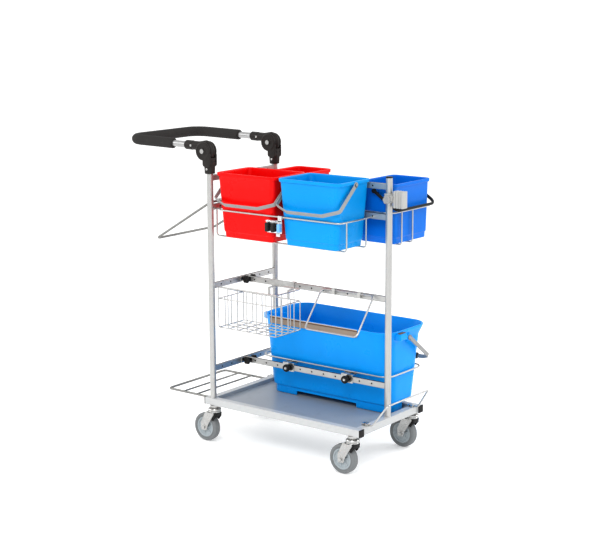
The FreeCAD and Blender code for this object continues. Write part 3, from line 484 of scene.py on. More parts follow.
MATERIALS = {
    "silver_frame": brushed("frame_silver", (0.50, 0.50, 0.49), 0.34, (1, 1, 0.02), 0.75),
    "bar_silver": punched_bar("punched_bar", (0.50, 0.50, 0.49)),
    "white_base": paint("base_paint", (0.50, 0.51, 0.51)),
    "black_plastic": plastic("black_plastic", (0.016, 0.016, 0.016), 0.42, 1.5),
    "knuckle_plastic": plastic("knuckle_plastic", (0.030, 0.027, 0.025), 0.42, 1.8),
    "grey_tray": paint("tray_paint", (0.33, 0.36, 0.39), 0.42),
    "plated_steel": plated("zinc_plate", (0.50, 0.50, 0.49)),
    "bright_plate": plated("bright_plate", (0.72, 0.73, 0.74), 0.16),
    "wire": plated("wire_plate", (0.54, 0.54, 0.53), 0.28),
    "dull_wire": plated("dull_wire", (0.27, 0.27, 0.26), 0.32),
    "handle_aluminium": brushed("handle_aluminium", (0.42, 0.42, 0.42), 0.3, (0.02, 1, 1), 0.85),
    "foam": rubber("foam", (0.034, 0.032, 0.031), 0.82, 520, 0.00025),
    "red_plastic": plastic("red_plastic", (0.80, 0.001, 0.001), 0.27),
    "sky_plastic": plastic("sky_plastic", (0.0, 0.31, 0.72), 0.27),
    "navy_plastic": plastic("navy_plastic", (0.0, 0.17, 0.64), 0.3),
    "tub_plastic": plastic("tub_plastic", (0.0, 0.33, 0.84), 0.27),
    "grey_plastic": plastic("grey_plastic", (0.33, 0.33, 0.33), 0.4),
    "pale_plastic": plastic("pale_plastic", (0.44, 0.44, 0.43), 0.4),
    "beige_plastic": banded("beige_band", (0.29, 0.23, 0.18)),
    "clip_rubber": rubber("clip_rubber", (0.025, 0.025, 0.025), 0.7),
    "clip_blue": plastic("clip_blue", (0.20, 0.47, 0.78), 0.4),
    "hub_plastic": plastic("hub_plastic", (0.38, 0.42, 0.44), 0.4),
    "tyre_grey": rubber("tyre_rubber", (0.20, 0.21, 0.215), 0.6, 900, 0.00005),
}
# Nodes whose look differs from their slot's.
LOOKS = {"long_bars": "bar_silver", "cross_bars": "bar_silver", "wire_clips": "plated_steel",
         "left_wire_rack": "dull_wire", "bag_hoop": "dull_wire"}

for row in frame["record"]["subparts"]:
    node = frame["nodes"][row["node"]]
    node.data.materials.clear()
    node.data.materials.append(MATERIALS[LOOKS.get(row["node"], row["material_slot"])])


# ---------------------------------------------------------------- buckets and tub

BUCKET_WALL = 2.6
BUCKET_FLARE = 5.0
BUCKET_CORNER = 16.0
BUCKET_FOOT_CORNER = 14.0
BUCKET_RIM_CORNER = 20.0
BUCKET_INNER_CORNER = BUCKET_CORNER - BUCKET_WALL


def bucket(node, slot, foot, along):
    """Tapered bucket: rounded rectangles that step out above the foot, taper to a flanged
    rim, roll over it and go down inside. Half sizes go evenly from foot to top.

    Each row is a ring's half sizes, its height and its corner radius.
    """
    low, high = extent(node)
    middle = (low + high) / 2
    rim = (high - low)[:2] / 2
    foot = np.array(foot)
    top = rim - BUCKET_FLARE
    tall = high[2] - low[2]

    def wall(height, by):
        return foot + (top - foot) * (height / tall) - by

    under = [(foot - 8, 0.0, 9.0), (foot - 4.5, 0.0, 12.0), (foot - 3.3, 1.2, 13.0),
             (foot - 3, 3.0, BUCKET_FOOT_CORNER)]
    step = [(wall(17, 3.0), 17.0, BUCKET_FOOT_CORNER), (wall(18, 2.6), 18.4, BUCKET_FOOT_CORNER),
            (wall(20, 0.4), 20.6, BUCKET_CORNER), (wall(22, 0.0), 22.0, BUCKET_CORNER)]
    outside = [(wall(z, 0.0), z, BUCKET_CORNER) for z in np.linspace(24, tall - 13, 6)]
    flange = [(wall(tall - 11.5, -0.6), tall - 11.6, 16.5), (rim - 1.6, tall - 11.0, 18.6),
              (rim - 0.9, tall - 10.2, 19.2), (rim - 0.8, tall - 9.0, 19.4)]
    lip = [(rim - 0.1, tall - 2.0, BUCKET_RIM_CORNER), (rim - 0.4, tall - 0.8, BUCKET_RIM_CORNER),
           (rim - 1.4, tall, 19.0), (rim - 5.2, tall, 15.6), (rim - 6.8, tall - 0.6, 14.0),
           (rim - 7.5, tall - 2.0, BUCKET_INNER_CORNER)]
    inside = [(wall(z, BUCKET_WALL), z, BUCKET_INNER_CORNER) for z in np.linspace(tall - 6, 26, 6)]
    floor_rows = [(wall(22, BUCKET_WALL), 22.0, BUCKET_INNER_CORNER), (wall(18, 3 + BUCKET_WALL), 18.0, 11.4),
                  (foot - 6, 10.0, 11.0), (foot - 7.5, 6.6, 10.0), (foot - 10, 5.2, 8.0),
                  (foot - 30, 5.0, 5.0)]
    rows = under + step + outside + flange + lip + inside + floor_rows
    half = np.array([row[0] for row in rows])
    height, corner = np.array([row[1:] for row in rows]).T
    shapes = [closed(outlines(middle[0] - half[:, 0], middle[0] + half[:, 0], middle[1] - half[:, 1],
                              middle[1] + half[:, 1], corner, low[2] + height))]
    pin_z = pivot(node.replace("bucket", "bail_swing"))[2]
    axis, reach = (ACROSS, rim[0]) if along == "x" else (DEEP, rim[1])
    for side in SIDES:
        boss = disc(9.6, reach - 10, reach - 0.1, 1.2, 1.6, 5.6)
        shapes.append(lathe(boss, (middle[0], middle[1], pin_z), axis * side, 28))
    piece(node, shapes, node, slot, [node], crease=50)


bucket("red_bucket", "red_plastic", (107, 74), "x")
bucket("sky_bucket", "sky_plastic", (107, 74), "x")
bucket("far_red_bucket", "red_plastic", (70, 101), "y")
bucket("navy_bucket", "navy_plastic", (70, 101), "y")

# Left, right, near and far side of the tub at four heights, and its slot for the fingers.
TUB_FOOT = (-219, 281, 54, 158)
TUB_WAIST = (-227, 288, 48, 205)
TUB_NECK = (-239, 293, 20, 250)
TUB_RIM = (-246, 306, 13, 265)
TUB_WALL = 3.0
TUB_SLOT_X = (-112.0, 146.0)
TUB_SLOT_HIGH = 15.0


def tub():
    """Big tub: rounded rectangles from the pocket under it, out round the foot, up a body that
    widens and leans out at the front, over a deep flared rim, and down inside to the floor.

    Each row is a ring's sides, its corner radius and its height. Points of the lowest rings
    rise where the slot for the fingers is.
    """
    bottom = extent("tub")[0][2]

    def grown(sides, by):
        return (sides[0] - by, sides[1] + by, sides[2] - by, sides[3] + by)

    def between(a, b, share):
        return tuple(p + (q - p) * share for p, q in zip(a, b))

    def body(share, inwards):
        sides = grown(between(TUB_WAIST, TUB_NECK, share), -inwards)
        return (sides, 40 - inwards + 12 * share, 23 + 225 * share)

    lip = grown(TUB_RIM, -2.4)
    pocket = [(grown(TUB_FOOT, -20), 20, 17.0), (grown(TUB_FOOT, -5), 30, 17.0),
              (grown(TUB_FOOT, -4), 31, 15.0)]
    foot = [(grown(TUB_FOOT, -4), 31, 0.6), (grown(TUB_FOOT, -3), 32, 0.0), (grown(TUB_FOOT, -0.8), 34, 0.0),
            (TUB_FOOT, 34, 1.0), (TUB_FOOT, 35, 22.0), (grown(TUB_FOOT, 0.8), 36, 24.4)]
    step = [(grown(TUB_WAIST, -1.4), 39, 28.6), (grown(TUB_WAIST, -0.3), 40, 29.6), (TUB_WAIST, 40, 31.0)]
    outside = [body(share, 0) for share in (0.06, 0.2, 0.4, 0.6, 0.8, 0.96)]
    flare = [(TUB_NECK, 52, 248.0), (between(TUB_NECK, lip, 0.08), 53, 251.0),
             (between(TUB_NECK, lip, 0.3), 55, 256.5), (between(TUB_NECK, lip, 0.6), 58, 263.5),
             (between(TUB_NECK, lip, 0.86), 60, 270.0), (lip, 61, 274.6)]
    rim = [(grown(TUB_RIM, -1.0), 62, 277.6), (TUB_RIM, 63, 281.6), (grown(TUB_RIM, -0.3), 62.6, 283.6),
           (grown(TUB_RIM, -1.4), 61, 284.8), (grown(TUB_RIM, -2.8), 60, 285.0),
           (grown(TUB_RIM, -5.2), 58, 284.8), (grown(TUB_RIM, -6.6), 57, 283.8),
           (grown(TUB_RIM, -7.4), 56, 282.4)]
    throat = [(between(grown(TUB_NECK, -TUB_WALL), grown(TUB_RIM, -8), 0.5), 52, 266.0),
              (grown(TUB_NECK, -TUB_WALL), 49, 249.0)]
    inside = [body(share, TUB_WALL) for share in (0.96, 0.7, 0.4, 0.15)]
    floor_rows = [(grown(TUB_WAIST, -4), 36, 32.0), (grown(TUB_WAIST, -7), 33, 25.0),
                  (grown(TUB_WAIST, -12), 28, 22.5), (grown(TUB_WAIST, -40), 10, 22.0)]
    rows = pocket + foot + step + outside + flare + rim + throat + inside + floor_rows
    sides = np.array([row[0] for row in rows], float)
    corner, height = np.array([row[1:] for row in rows], float).T
    start, end = TUB_FOOT[0] + 34, TUB_FOOT[1] - 34
    left, right = ((x - start) / (end - start) for x in TUB_SLOT_X)
    hair = 0.002
    shares = (0.02, left - hair, left + hair, 0.5, right - hair, right + hair, 0.98)
    rings = outlines(sides[:, 0], sides[:, 1], sides[:, 2], sides[:, 3], corner, bottom + height, 11, shares)
    x, y, z = np.moveaxis(rings, -1, 0)
    in_slot = (x > TUB_SLOT_X[0]) & (x < TUB_SLOT_X[1]) & (y < TUB_FOOT[2] + 12) & (z < bottom + 3)
    rings[..., 2] = np.where(in_slot, bottom + TUB_SLOT_HIGH, z)
    shapes = [closed(rings)]
    spot = pivot("tub_bail_swing")
    for side, edge in zip(SIDES, TUB_RIM):
        ends = sorted((edge - side * 22, edge + side * 16))
        shapes.append(block((ends[0], 60, 404), (ends[1], 100, 426), 4, 2.5))
        shapes.append(lathe(disc(14, -20, 0.2, 1.6, 1.8, 7.5), (edge, spot[1], spot[2]), ACROSS * side, 32))
    piece("tub", shapes, "tub", "tub_plastic", ["tub"], crease=50)


tub()


def tub_strips():
    """Plastic band along the near rim and the pad on the right lug."""
    face = TUB_RIM[2] - 0.2
    band = block((-195, face - 1.6, 405), (178, face + 0.6, 431), 0.9, 0.8, 0)
    pad = block((307, 64, 425.6), (319, 96, 428), 2.4, 0.8)
    piece("tub_strips", [band, pad], "tub", "beige_plastic", ["tub_strips"])


tub_strips()


# ---------------------------------------------------------------- bails and grips

STRAP_WIDE = 14.0
STRAP_THICK = 3.5
STRAP_EDGE = 2.2
STRAP_SUNK = 0.9


def strap_profile():
    """Flat strap with a raised edge along both sides of its outer face."""
    half_w, half_t = STRAP_WIDE / 2, STRAP_THICK / 2
    crest, foot = half_w - STRAP_EDGE, half_w - STRAP_EDGE - 0.7
    sunk = half_t - STRAP_SUNK
    return np.array([(half_t - 0.5, half_w), (half_t, half_w - 0.5), (half_t, crest), (sunk, foot),
                     (sunk, -foot), (half_t, -crest), (half_t, 0.5 - half_w), (half_t - 0.5, -half_w),
                     (0.5 - half_t, -half_w), (-half_t, 0.5 - half_w), (-half_t, half_w - 0.5),
                     (0.5 - half_t, half_w)])


def strap_bail(node, half, shoulder, grip, reach, droop, way):
    """Strap from eye to eye through two slanting corners, in the plane that hangs droop
    degrees below level: pivot + a * across + b * out. The eyes' inner faces are at half on
    both sides of the middle."""
    spot = pivot(node + "_swing")
    turn = math.radians(droop)
    out = np.array([0.0, way * math.cos(turn), -math.sin(turn)])
    wide = np.cross(ACROSS, out) * way
    arm, bar = half + STRAP_THICK / 2, reach - STRAP_THICK / 2
    plan = [(arm, -3), (arm, shoulder), (grip, bar), (-grip, bar), (-arm, shoulder), (-arm, -3)]
    path = finer(bent([spot + a * ACROSS + b * out for a, b in plan], 9.0))
    profile = strap_profile()[::way]
    shapes = [carry(path, wide, profile)]
    for side in SIDES:
        face = spot + ACROSS * side * half
        eye, head, pin = disc(9, 0, STRAP_THICK, 0.8), disc(5.0, 3.3, 4.6, 0.8), disc(3.9, -9, 0.4, 0.5)
        shapes.append(lathe(eye, face, ACROSS * side, 30))
        shapes.append(lathe(head, face, ACROSS * side, 22))
        shapes.append(lathe(pin, face, ACROSS * side, 20))
    piece(node, shapes, node, "grey_plastic", [node])


strap_bail("red_bail", 126.6, 117, 71, 143, 41, -1)
strap_bail("sky_bail", 126.6, 117, 71, 143, 41, -1)
strap_bail("tub_bail", 276.6, 146, 246, 166, 37, 1)

ROD_HALF_SIZES = (4.0, 5.4)


def rod_bail(node, reach, droop):
    """Oval moulded bail, a U from pin to pin in the plane that hangs droop degrees below level:
    pivot + a * deep + b * out."""
    spot = pivot(node + "_swing")
    low, high = extent(node)
    turn = math.radians(droop)
    out = np.array([math.cos(turn), 0.0, -math.sin(turn)])
    arm = (high[1] - low[1]) / 2 - ROD_HALF_SIZES[0]
    plan = [(-arm, 0), (-arm, reach), (arm, reach), (arm, 0)]
    path = finer(bent([spot + a * DEEP + b * out for a, b in plan], 24.0))
    oval = round_profile(1.0, 18) * ROD_HALF_SIZES
    shapes = [carry(path, np.cross(DEEP, out), oval)]
    for side in SIDES:
        face = spot + DEEP * side * (arm - ROD_HALF_SIZES[0])
        shapes.append(lathe(disc(7.6, 0, 8, 1.6), face, DEEP * side, 28))
        shapes.append(lathe(disc(3.9, -8, 0.5, 0.4), face, DEEP * side, 20))
    piece(node, shapes, node, "black_plastic", [node])


rod_bail("far_red_bail", 108.0, 33.2)
rod_bail("navy_bail", 108.0, 33.2)


GRIP_R = 10.9
GRIP_END_R = 7.0
GRIP_END = 4.0
FINGER_RING = 9.0


def tub_grip():
    """Hand grip: a round bar whose ends round off, with shallow finger rings along it:
    radius 10.9 - 0.35 * (1 - cos(2 pi x / 9)) / 2."""
    low, high = extent("tub_grip")
    half = (high[0] - low[0]) / 2
    x = np.linspace(GRIP_END - half, half - GRIP_END, 300)
    radius = GRIP_R - 0.35 * (1 - np.cos(2 * np.pi * x / FINGER_RING)) / 2
    turn = np.linspace(0, np.pi / 2, 6)
    swell = GRIP_R - GRIP_END_R
    start = np.stack([GRIP_END_R + swell * np.sin(turn), -half + GRIP_END * (1 - np.cos(turn))], -1)
    end = np.stack([GRIP_END_R + swell * np.cos(turn), half - GRIP_END + GRIP_END * np.sin(turn)], -1)
    profile = np.vstack([start, np.stack([radius, x], -1), end])
    shape = lathe(profile, (low + high) / 2, ACROSS, 28)
    piece("tub_grip", [shape], "tub_bail", "black_plastic", ["tub_grip"])


tub_grip()

HINGE = pivot("handle_tilt")
HANDLE_END = extent("foam_grip")[0][0] + 18.0
HANDLE_SIDE = 175.0
HANDLE_OVER_HINGE = 15.0
HANDLE_SLOPE = 5.0 / (HINGE[0] - HANDLE_END)
FOAM_R = 18.0


def on_handle(x, side):
    """Point on the middle line of the handle's arm."""
    return np.array([x, side * HANDLE_SIDE, HINGE[2] + HANDLE_OVER_HINGE + (HINGE[0] - x) * HANDLE_SLOPE])


def foam_grip():
    """Foam sleeve along the U of the handle, its ends rounded like quarter circles. The first
    and last stretch of the path get points at distances that grow as a square."""
    start = extent("foam_grip")[1][0] + 0.3
    corners = [on_handle(start, -1), on_handle(HANDLE_END, -1), on_handle(HANDLE_END, 1), on_handle(start, 1)]
    path = finer(bent(corners, 52.0, 14))
    share = np.linspace(0, 1, 7)[1:-1, None] ** 2
    first = path[0] + share * (path[1] - path[0])
    last = path[-1] + share[::-1] * (path[-2] - path[-1])
    path = np.vstack([path[:1], first, path[1:-1], last, path[-1:]])
    normal = np.cross(path[len(path) // 2] - path[0], DEEP)
    normal = normal / np.linalg.norm(normal)
    shape = carry(path, normal, round_profile(FOAM_R, 26), eased(path, FOAM_R, 5.0))
    sleeve = piece("foam_grip", [shape], "handle", "foam", ["foam_grip"])


foam_grip()


# ---------------------------------------------------------------- handle knuckles

POST_X = -300.0
SCOOP_R = 37.0
CHEEK_R = 31.5
ELBOW_R = 18.5
TONGUE_R = 24.0
ARM_RIVET_X = -372.0
SOCKET_RIVET_Z = 958.0


def knuckle_base(side):
    """Socket that stands on the post and rises into a scoop under the elbow, whose inner side
    is hinge + sqrt(scoop radius^2 - (hinge height - z)^2), with a plate and a dished round
    cheek on each side."""
    y = side * HANDLE_SIDE
    z = np.array([942, 942.6, 944, 952, 962, 972, 979, 981.6, 984, 988, 992, 996.0])
    half = np.array([14.6, 16.2, 17.0, 17.0, 17.0, 17.2, 17.4, 17.4, 17.4, 17.3, 17.1, 16.8])
    deep = np.array([14.6, 16.2, 17.0, 17.2, 17.6, 18.2, 18.4, 12.6, 12.6, 12.6, 12.6, 12.0])
    corner = np.array([14, 15, 15.8, 15.6, 15, 13, 11, 9, 9, 9, 9, 9.0])
    scoop = HINGE[0] + np.sqrt(np.maximum(SCOOP_R ** 2 - (HINGE[2] - z) ** 2, 0))
    left, right = POST_X - half, POST_X + half
    left = np.where(z > 981, np.maximum(scoop, left), left)
    corner = np.minimum(corner, np.minimum((right - left) / 2, deep) - 0.1)
    shapes = [closed(outlines(left, right, y - deep, y + deep, corner, z))]
    rim = disc(CHEEK_R, 12.5, 19.0, 2.2)
    dish = [(27.6, 19.9), (26.6, 20.3), (25.0, 20.3), (24.2, 19.4), (22.0, 19.0), (13.0, 18.6),
            (12.0, 19.8), (10.4, 20.2), (8.8, 19.8), (4.6, 19.6)]
    for face in SIDES:
        near, far = sorted((y + face * 12.4, y + face * 18.3))
        shapes.append(block((POST_X - 17.2, near, 966), (POST_X + 17.2, far, 1014), 8.0, 1.6, 1))
        shapes.append(lathe(np.vstack([rim, dish]), (HINGE[0], y, HINGE[2]), DEEP * face, 48))
    return shapes


def knuckle_arm(side):
    """Elbow: an ellipse carried round the hinge from below it, over the top and out along the
    handle, easing into the round socket of the tube, and a tongue round the hinge bolt."""
    y = side * HANDLE_SIDE
    angle = np.radians(np.linspace(-72, 84, 26))
    arc = np.stack([HINGE[0] + ELBOW_R * np.cos(angle), np.full(len(angle), y),
                    HINGE[2] + ELBOW_R * np.sin(angle)], -1)
    ahead = np.array([on_handle(x, side) for x in np.linspace(-346, -403.5, 16)])
    bridge = arc[-1] + (ahead[0] - arc[-1]) * np.linspace(0, 1, 9)[1:-1, None]
    path = np.vstack([arc, bridge, ahead])
    share = np.clip((HINGE[0] + 6 - path[:, 0]) / 34.0, 0, 1)
    share = share * share * (3 - 2 * share)
    share[:len(arc)] = 0
    edge = np.minimum(eased(path, 15.0, 2.0), 1.0)
    half_sizes = np.stack([(17.4 - 2.4 * share) * edge, (11.9 + 3.1 * share) * edge], -1)
    oval = round_profile(1.0, 30)
    collar = ahead[-9:-1]
    return [carry(path, DEEP, oval, half_sizes), carry(collar, DEEP, oval, 15.9),
            lathe(disc(TONGUE_R, -11.9, 11.9, 1.5), (HINGE[0], y, HINGE[2]), DEEP, 40)]


def rivet(centre, axis, radius, high):
    """Domed rivet head: radius * cos t, high * sin t."""
    turn = np.linspace(0, np.pi / 2 - 0.08, 6)
    return lathe(np.stack([radius * np.cos(turn), high * np.sin(turn)], -1), centre, axis, 20)


def rivet_row(name, body, x, z, reach):
    """Rivets on both faces of both knuckles."""
    heads = [rivet((x, side * HANDLE_SIDE + face * reach, z), DEEP * face, 4.2, 2.0)
             for side in SIDES for face in SIDES]
    piece(name, heads, body, "plated_steel")


piece("knuckle_bases", knuckle_base(-1) + knuckle_base(1), "frame", "black_plastic", ["knuckle_bases"],
      "knuckle_plastic")
piece("knuckle_arms", knuckle_arm(-1) + knuckle_arm(1), "handle", "black_plastic", ["knuckle_arms"],
      "knuckle_plastic")
rivet_row("arm_rivets", "handle", ARM_RIVET_X, on_handle(ARM_RIVET_X, 1)[2], 14.6)
rivet_row("socket_rivets", "frame", POST_X, SOCKET_RIVET_Z, 16.6)


# ---------------------------------------------------------------- knobs

STAR = (6, 0.075)
KNURL = (24, 0.022)


def star_knob(node, way, lobes, depth, slot="black_plastic"):
    """Clamping knob: a turned profile whose radius swells by depth * cos(lobes * turn), on a
    neck."""
    spot = pivot(node + "_turn")
    profile = [(8.6, 0.2), (9.2, 0.6), (9.4, 1.6), (11.4, 2.0), (12.7, 2.8), (13.2, 4.2), (13.2, 9.0),
               (12.7, 10.8), (11.4, 11.9), (9.0, 12.3), (7.4, 12.1), (6.8, 11.4), (5.5, 11.2)]
    neck = disc(3, -6, 0.5, 0.4)
    shapes = [lathe(profile, spot, DEEP * way, 96, lobes, depth), lathe(neck, spot, DEEP * way, 20)]
    piece(node, shapes, node, slot, [node])


def insert(node, way):
    """Metal disc in the middle of a knob, with a socket for the key."""
    shape = lathe(disc(5.0, 9, 12.6, 0.9, 1.2, 2.2), pivot(node + "_turn"), DEEP * way, 28)
    piece(node + "_insert", [shape], node, "plated_steel")


for node in ("knob_low_near", "knob_mid_near"):
    star_knob(node, -1, *STAR)
for node in ("knob_low_far", "knob_mid_far"):
    star_knob(node, 1, *STAR)
for node in ("knob_guard_left", "knob_guard_right"):
    star_knob(node, -1, *KNURL)
    insert(node, -1)
star_knob("clamp_knob", -1, *STAR, "grey_plastic")


# ---------------------------------------------------------------- casters

WHEEL_R = 50.0
TRAIL = 35.0
TYRE_HALF = 14.0
RIM_HALF = 12.6
SPOKES = 6
SPOKE_TURN = 0.26


def plate(corners, start, end, radius, edge=0.6):
    """Sheet plate in the plane of x and z: its rounded outline stacked from one y to the other,
    drawn in a little at both faces."""
    ring = np.array(corners, float)
    middle = ring.mean(0)
    seam = (ring[0] + ring[-1]) / 2
    flat = bent([(x, 0, z) for x, z in np.vstack([seam, ring, seam])], radius, 6)[:-1]
    rings = []
    for y, inset in ((start, edge), (start + edge, 0.0), (end - edge, 0.0), (end, edge)):
        away = flat - [middle[0], 0, middle[1]]
        shrink = 1 - inset / np.linalg.norm(away, axis=1)[:, None]
        rings.append(away * shrink + [middle[0], y, middle[1]])
    return closed(np.array(rings))


def fork(place):
    """Pressed fork: domed crown with a ball-race lip, two rounded legs, and the axle bolt."""
    x, y = pivot("swivel_" + place)[:2]
    axle_x = x - TRAIL
    axle = (axle_x, y, WHEEL_R)
    crown = [(6.2, 108.0), (18, 108.0), (21.2, 108.8), (22.4, 110.4), (22.4, 112.2), (21.4, 113.4),
             (20.6, 114.0), (22.0, 114.6), (23.0, 116.2), (23.0, 119.4), (21.4, 121.8), (17, 122.6),
             (6.2, 122.6)]
    leg = [(x + 15, 109), (x - 27, 109), (axle_x - 13, 66), (axle_x - 11.5, 39.6), (axle_x + 11.5, 39.6),
           (axle_x + 19, 62)]
    shapes = [lathe(crown, (x, y, 0), UP, 48),
              block((x - 26, y - 20, 105.6), (x + 10, y + 20, 109.6), 8, 1.2)]
    for side in SIDES:
        near, far = sorted((y + side * 17, y + side * 20))
        shapes.append(plate(leg, near, far, 5.0))
        shapes.append(lathe(disc(9.6, 19.8, 21.2, 0.5), axle, DEEP * side, 28))
        shapes.append(lathe(disc(6.6, 21.0, 25.4, 0.9), axle, DEEP * side, 6))
    shapes.append(lathe(disc(3.9, -21, 21, 0.4), axle, DEEP, 20))
    piece("fork_" + place, shapes, "fork_" + place, "plated_steel", ["fork_" + place], crease=32)


def skirt_and_shade(place):
    """Black skirt between the legs, two plates and a bridge: partly a guard that keeps threads off the hub,
    partly painted shade, a dark piece where the fork shades the tyre.
    """
    x, y = pivot("swivel_" + place)[:2]
    outline = [(x + 19, 107.5), (x - 6, 107.5), (x - 12, 92), (x + 4, 76), (x + 14, 90)]
    shapes = []
    for side in SIDES:
        near, far = sorted((y + side * 14.6, y + side * 16.9))
        shapes.append(plate(outline, near, far, 4.0))
    shapes.append(block((x + 14.5, y - 16.4, 92), (x + 17.0, y + 16.4, 107.5), 1.2, 1.0, 1))
    piece("skirt_and_shade_" + place, shapes, "fork_" + place, "black_plastic")


def hub(place):
    """Rim, dished web and boss in one ring, and spokes: rounded bars from boss to rim."""
    centre = pivot("roll_" + place)
    seat = [(36.05, 0.8 - RIM_HALF), (36.05, RIM_HALF - 0.8)]
    far_lip = [(35.0, RIM_HALF), (31.4, RIM_HALF), (30.6, 11.4), (30.4, 9.4)]
    web = [(28.6, 8.6), (13.4, 8.0), (11.8, 9.2), (11.4, 15.6), (10.4, 16.6), (4.1, 16.6)]
    near_lip = [(30.6, -11.4), (31.4, -RIM_HALF), (35.0, -RIM_HALF)]
    shapes = [hoop(seat + far_lip + web + [(r, -a) for r, a in web[::-1]] + near_lip, centre, 56)]
    bar = [(-2.2, -9.6), (-1.5, -10.4), (1.5, -10.4), (2.2, -9.6), (2.2, 9.6), (1.5, 10.4),
           (-1.5, 10.4), (-2.2, 9.6)]
    for angle in SPOKE_TURN + 2 * np.pi * np.arange(SPOKES) / SPOKES:
        way = np.array([math.cos(angle), 0, math.sin(angle)])
        side = np.cross(way, DEEP)
        ends = [[centre + r * way + w * side + d * DEEP for w, d in bar] for r in (10.5, 31.0)]
        shapes.append(closed(np.array(ends)))
    piece("hub_" + place, shapes, "wheel_" + place, "hub_plastic", ["hub_" + place], crease=35)


def tyre(place):
    """Tyre with a slightly crowned tread, quarter-ellipse shoulders and a bead line."""
    arc = np.linspace(0, np.pi / 2, 7)
    shoulder = np.stack([43.0 + 6.9 * np.sin(arc), 7.2 + 6.8 * np.cos(arc)], -1)
    tread = np.array([(WHEEL_R - 0.05, 5.0), (WHEEL_R, 0.0), (WHEEL_R - 0.05, -5.0)])
    wall = np.array([(40.5, TYRE_HALF - 0.3), (39.8, TYRE_HALF - 1), (39.0, TYRE_HALF - 1),
                     (38.4, TYRE_HALF - 0.2), (36.6, TYRE_HALF - 0.2), (36.0, TYRE_HALF - 0.8)])
    over = [1, -1]
    profile = np.vstack([shoulder, tread, (shoulder * over)[::-1], wall * over, wall[::-1]])
    piece("tyre_" + place, [hoop(profile, pivot("roll_" + place), 80)], "wheel_" + place, "tyre_grey",
          ["tyre_" + place])


for place in CORNERS:
    fork(place)
    skirt_and_shade(place)
    hub(place)
    tyre(place)


# ---------------------------------------------------------------- tool clip and post clamp

CLIP_WIRE_Y = -178.0
CLIP_FRONT = CLIP_WIRE_Y - 3.3
CLIP_BACK = CLIP_WIRE_Y + 3.3
SHEET = 1.6
JAW_RIBS = 5
JAW_PITCH = 5.2


def clip_bracket():
    """Bent plate on the cradle's front wire: a hook over the wire, the wide plate with its
    tongue below, the bead of the jaws' hinge, and two rivets."""
    face = CLIP_FRONT - SHEET
    shapes = [block((-3, face, 825.3), (13, CLIP_BACK + SHEET, 826.9), 0.7, 0.5, 0),
              block((-3, CLIP_BACK, 813.3), (13, CLIP_BACK + SHEET, 826.9), 0.7, 0.5, 0),
              block((-3, face, 806), (13, CLIP_FRONT, 826.9), 0.7, 0.5, 0),
              block((-50, face, 768), (14, CLIP_FRONT, 810), 3.0, 0.5, 1),
              block((-10, face, 757), (6, CLIP_FRONT, 770), 2.0, 0.5, 1),
              block((-50, CLIP_FRONT - 6.6, 802.5), (-10, CLIP_FRONT - 1.2, 809.5), 2.0, 1.2, 0),
              rivet((6, face, 818), -DEEP, 3.4, 1.8), rivet((-30, CLIP_FRONT - 6.2, 806), -DEEP, 2.6, 1.4)]
    piece("clip_bracket", shapes, "frame", "plated_steel", ["clip_bracket"], "bright_plate")


def clip_jaws():
    """Two rubber jaws with ribs on the faces that grip a broomstick."""
    shapes = []
    for low, high, inner in ((-48, -36, -36), (-23, -12, -23)):
        shapes.append(block((low, CLIP_FRONT - 15.4, 772), (high, CLIP_FRONT - 1.4, 801), 3.0, 1.5))
        ribs = (inner - 0.6, inner + 1.4) if inner == high else (inner - 1.4, inner + 0.6)
        for z in 775.5 + JAW_PITCH * np.arange(JAW_RIBS):
            foot, crown = (ribs[0], CLIP_FRONT - 14, z), (ribs[1], CLIP_FRONT - 3, z + 2.4)
            shapes.append(block(foot, crown, 0.8, 0.5, 1))
    piece("clip_jaws", shapes, "frame", "clip_rubber", ["clip_jaws"])


def clip_spring():
    """Blue block beside the jaws."""
    shape = block((0, CLIP_FRONT - 13.4, 773), (12, CLIP_FRONT - 1.4, 800), 3.0, 1.4)
    piece("clip_spring", [shape], "frame", "clip_blue", ["clip_spring"])


clip_bracket()
clip_jaws()
clip_spring()


def post_clamp():
    """Collar with a split lug on the post, and the ribbed holder plate beside it."""
    x = extent("right_post")[0][0] + 11.0
    collar = [(11.1, 875), (15.2, 875), (16.2, 876), (16.2, 904), (15.2, 905), (11.1, 905)]
    shapes = [lathe(collar, (x, 0, 0), UP, 40),
              block((x + 6, -22.2, 880), (x + 24, -12.4, 900), 2.5, 1.2, 1),
              block((x + 13, -13, 879), (x + 25, 9, 901), 2.0, 1.0, 0),
              block((x + 24, -10.5, 863), (x + 60, 10.5, 914), 2.0, 1.0, 1)]
    for start, end in ((23, 31), (34, 42), (45, 50), (54, 62)):
        shapes.append(block((x + start, -13.4, 861), (x + end, 13.4, 916), 2.4, 1.0))
    piece("post_clamp", shapes, "frame", "grey_plastic", ["post_clamp"], "pale_plastic")


post_clamp()


def ball_races():
    """Turned bearing lips between the rails and the forks' crowns."""
    race = [(6.0, 128), (16, 128.0), (16.4, 126.8), (14, 125.6), (13.8, 124.6), (16.2, 123.8),
            (16.2, 123.0), (6.0, 123.0)]
    shapes = []
    for place in CORNERS:
        x, y = pivot("swivel_" + place)[:2]
        shapes.append(lathe(race, (x, y, 0), UP, 36))
    piece("ball_races", shapes, "frame", "plated_steel")


ball_races()


# ---------------------------------------------------------------- camera, floor and light

# Places are metres from the middle of the base, and angles are degrees.
CAMERA_PLACE = (2.908, -3.8445, 1.5672)
CAMERA_TURN = 37.337
CAMERA_DOWN = 11.184
CAMERA_ROLL = -0.19
LENS = 85.12
SENSOR = 36.0
FLOOR_HALF = 200.0
UNDER_WHEELS = 0.0005


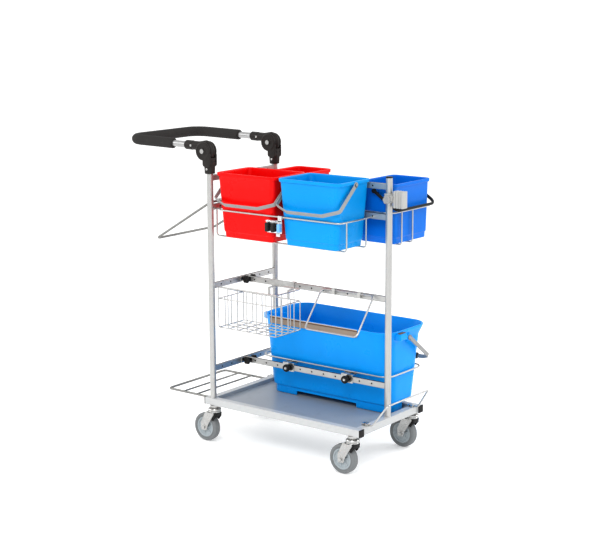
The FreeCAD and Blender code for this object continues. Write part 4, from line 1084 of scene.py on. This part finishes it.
def camera():
    """Long lens on the corner between the near side and the post's end, a little above the cart."""
    turn, down, roll = (math.radians(angle) for angle in (CAMERA_TURN, CAMERA_DOWN, CAMERA_ROLL))
    ahead = Vector((-math.sin(turn) * math.cos(down), math.cos(turn) * math.cos(down), -math.sin(down)))
    level = Vector((math.cos(turn), math.sin(turn), 0))
    above = level.cross(ahead)
    right = level * math.cos(roll) + above * math.sin(roll)
    up = above * math.cos(roll) - level * math.sin(roll)
    eye = bpy.data.objects.new("camera", bpy.data.cameras.new("camera"))
    eye.data.lens = LENS
    eye.data.sensor_width = SENSOR
    bpy.context.scene.collection.objects.link(eye)
    turned = Matrix((right, up, -ahead)).transposed().to_4x4()
    eye.matrix_world = Matrix.Translation(Vector(BASE) + Vector(CAMERA_PLACE)) @ turned
    bpy.context.scene.camera = eye


def lamp(name, place, target_high, size, power):
    """Round soft light at a place, turned to a point above the middle of the base."""
    light = bpy.data.lights.new(name, "AREA")
    light.shape = "DISK"
    light.size = size
    light.energy = power
    lit = bpy.data.objects.new(name, light)
    bpy.context.scene.collection.objects.link(lit)
    lit.location = Vector(BASE) + Vector(place)
    away = Vector(place) - Vector((0, 0, target_high))
    lit.rotation_euler = away.to_track_quat("Z", "Y").to_euler()


def floor():
    """Wide plain floor, level, a hair under the wheels."""
    corners = [(BASE[0] + x * FLOOR_HALF, BASE[1] + y * FLOOR_HALF, -UNDER_WHEELS)
               for x, y in ((-1, -1), (1, -1), (1, 1), (-1, 1))]
    mesh = bpy.data.meshes.new("floor")
    mesh.from_pydata(corners, [], [(0, 1, 2, 3)])
    ground = bpy.data.objects.new("floor", mesh)
    bpy.context.scene.collection.objects.link(ground)
    finish = Finish("floor_paint", (0.86, 0.86, 0.86), 0.6)
    finish.surface.inputs["Emission Color"].default_value = (1, 1, 1, 1)
    finish.surface.inputs["Emission Strength"].default_value = 0.3
    finish.gloss(finish.noise(3, 2) * 0.1 + 0.55)
    mesh.materials.append(finish.material)


def world():
    """Even white light from all round."""
    scene = bpy.context.scene
    scene.world = bpy.data.worlds.new("studio")
    scene.world.use_nodes = True
    background = scene.world.node_tree.nodes["Background"]
    background.inputs["Color"].default_value = (1, 1, 1, 1)
    background.inputs["Strength"].default_value = 1.02
    scene.view_settings.view_transform = "Standard"
    scene.view_settings.gamma = 0.84


camera()
floor()
world()
lamp("key", (1.6, -3.2, 3.4), 0.5, 1.6, 80)
lamp("fill", (-3.4, -1.8, 2.2), 0.6, 2.4, 36)
lamp("rim", (2.6, 2.6, 2.6), 0.6, 1.6, 50)
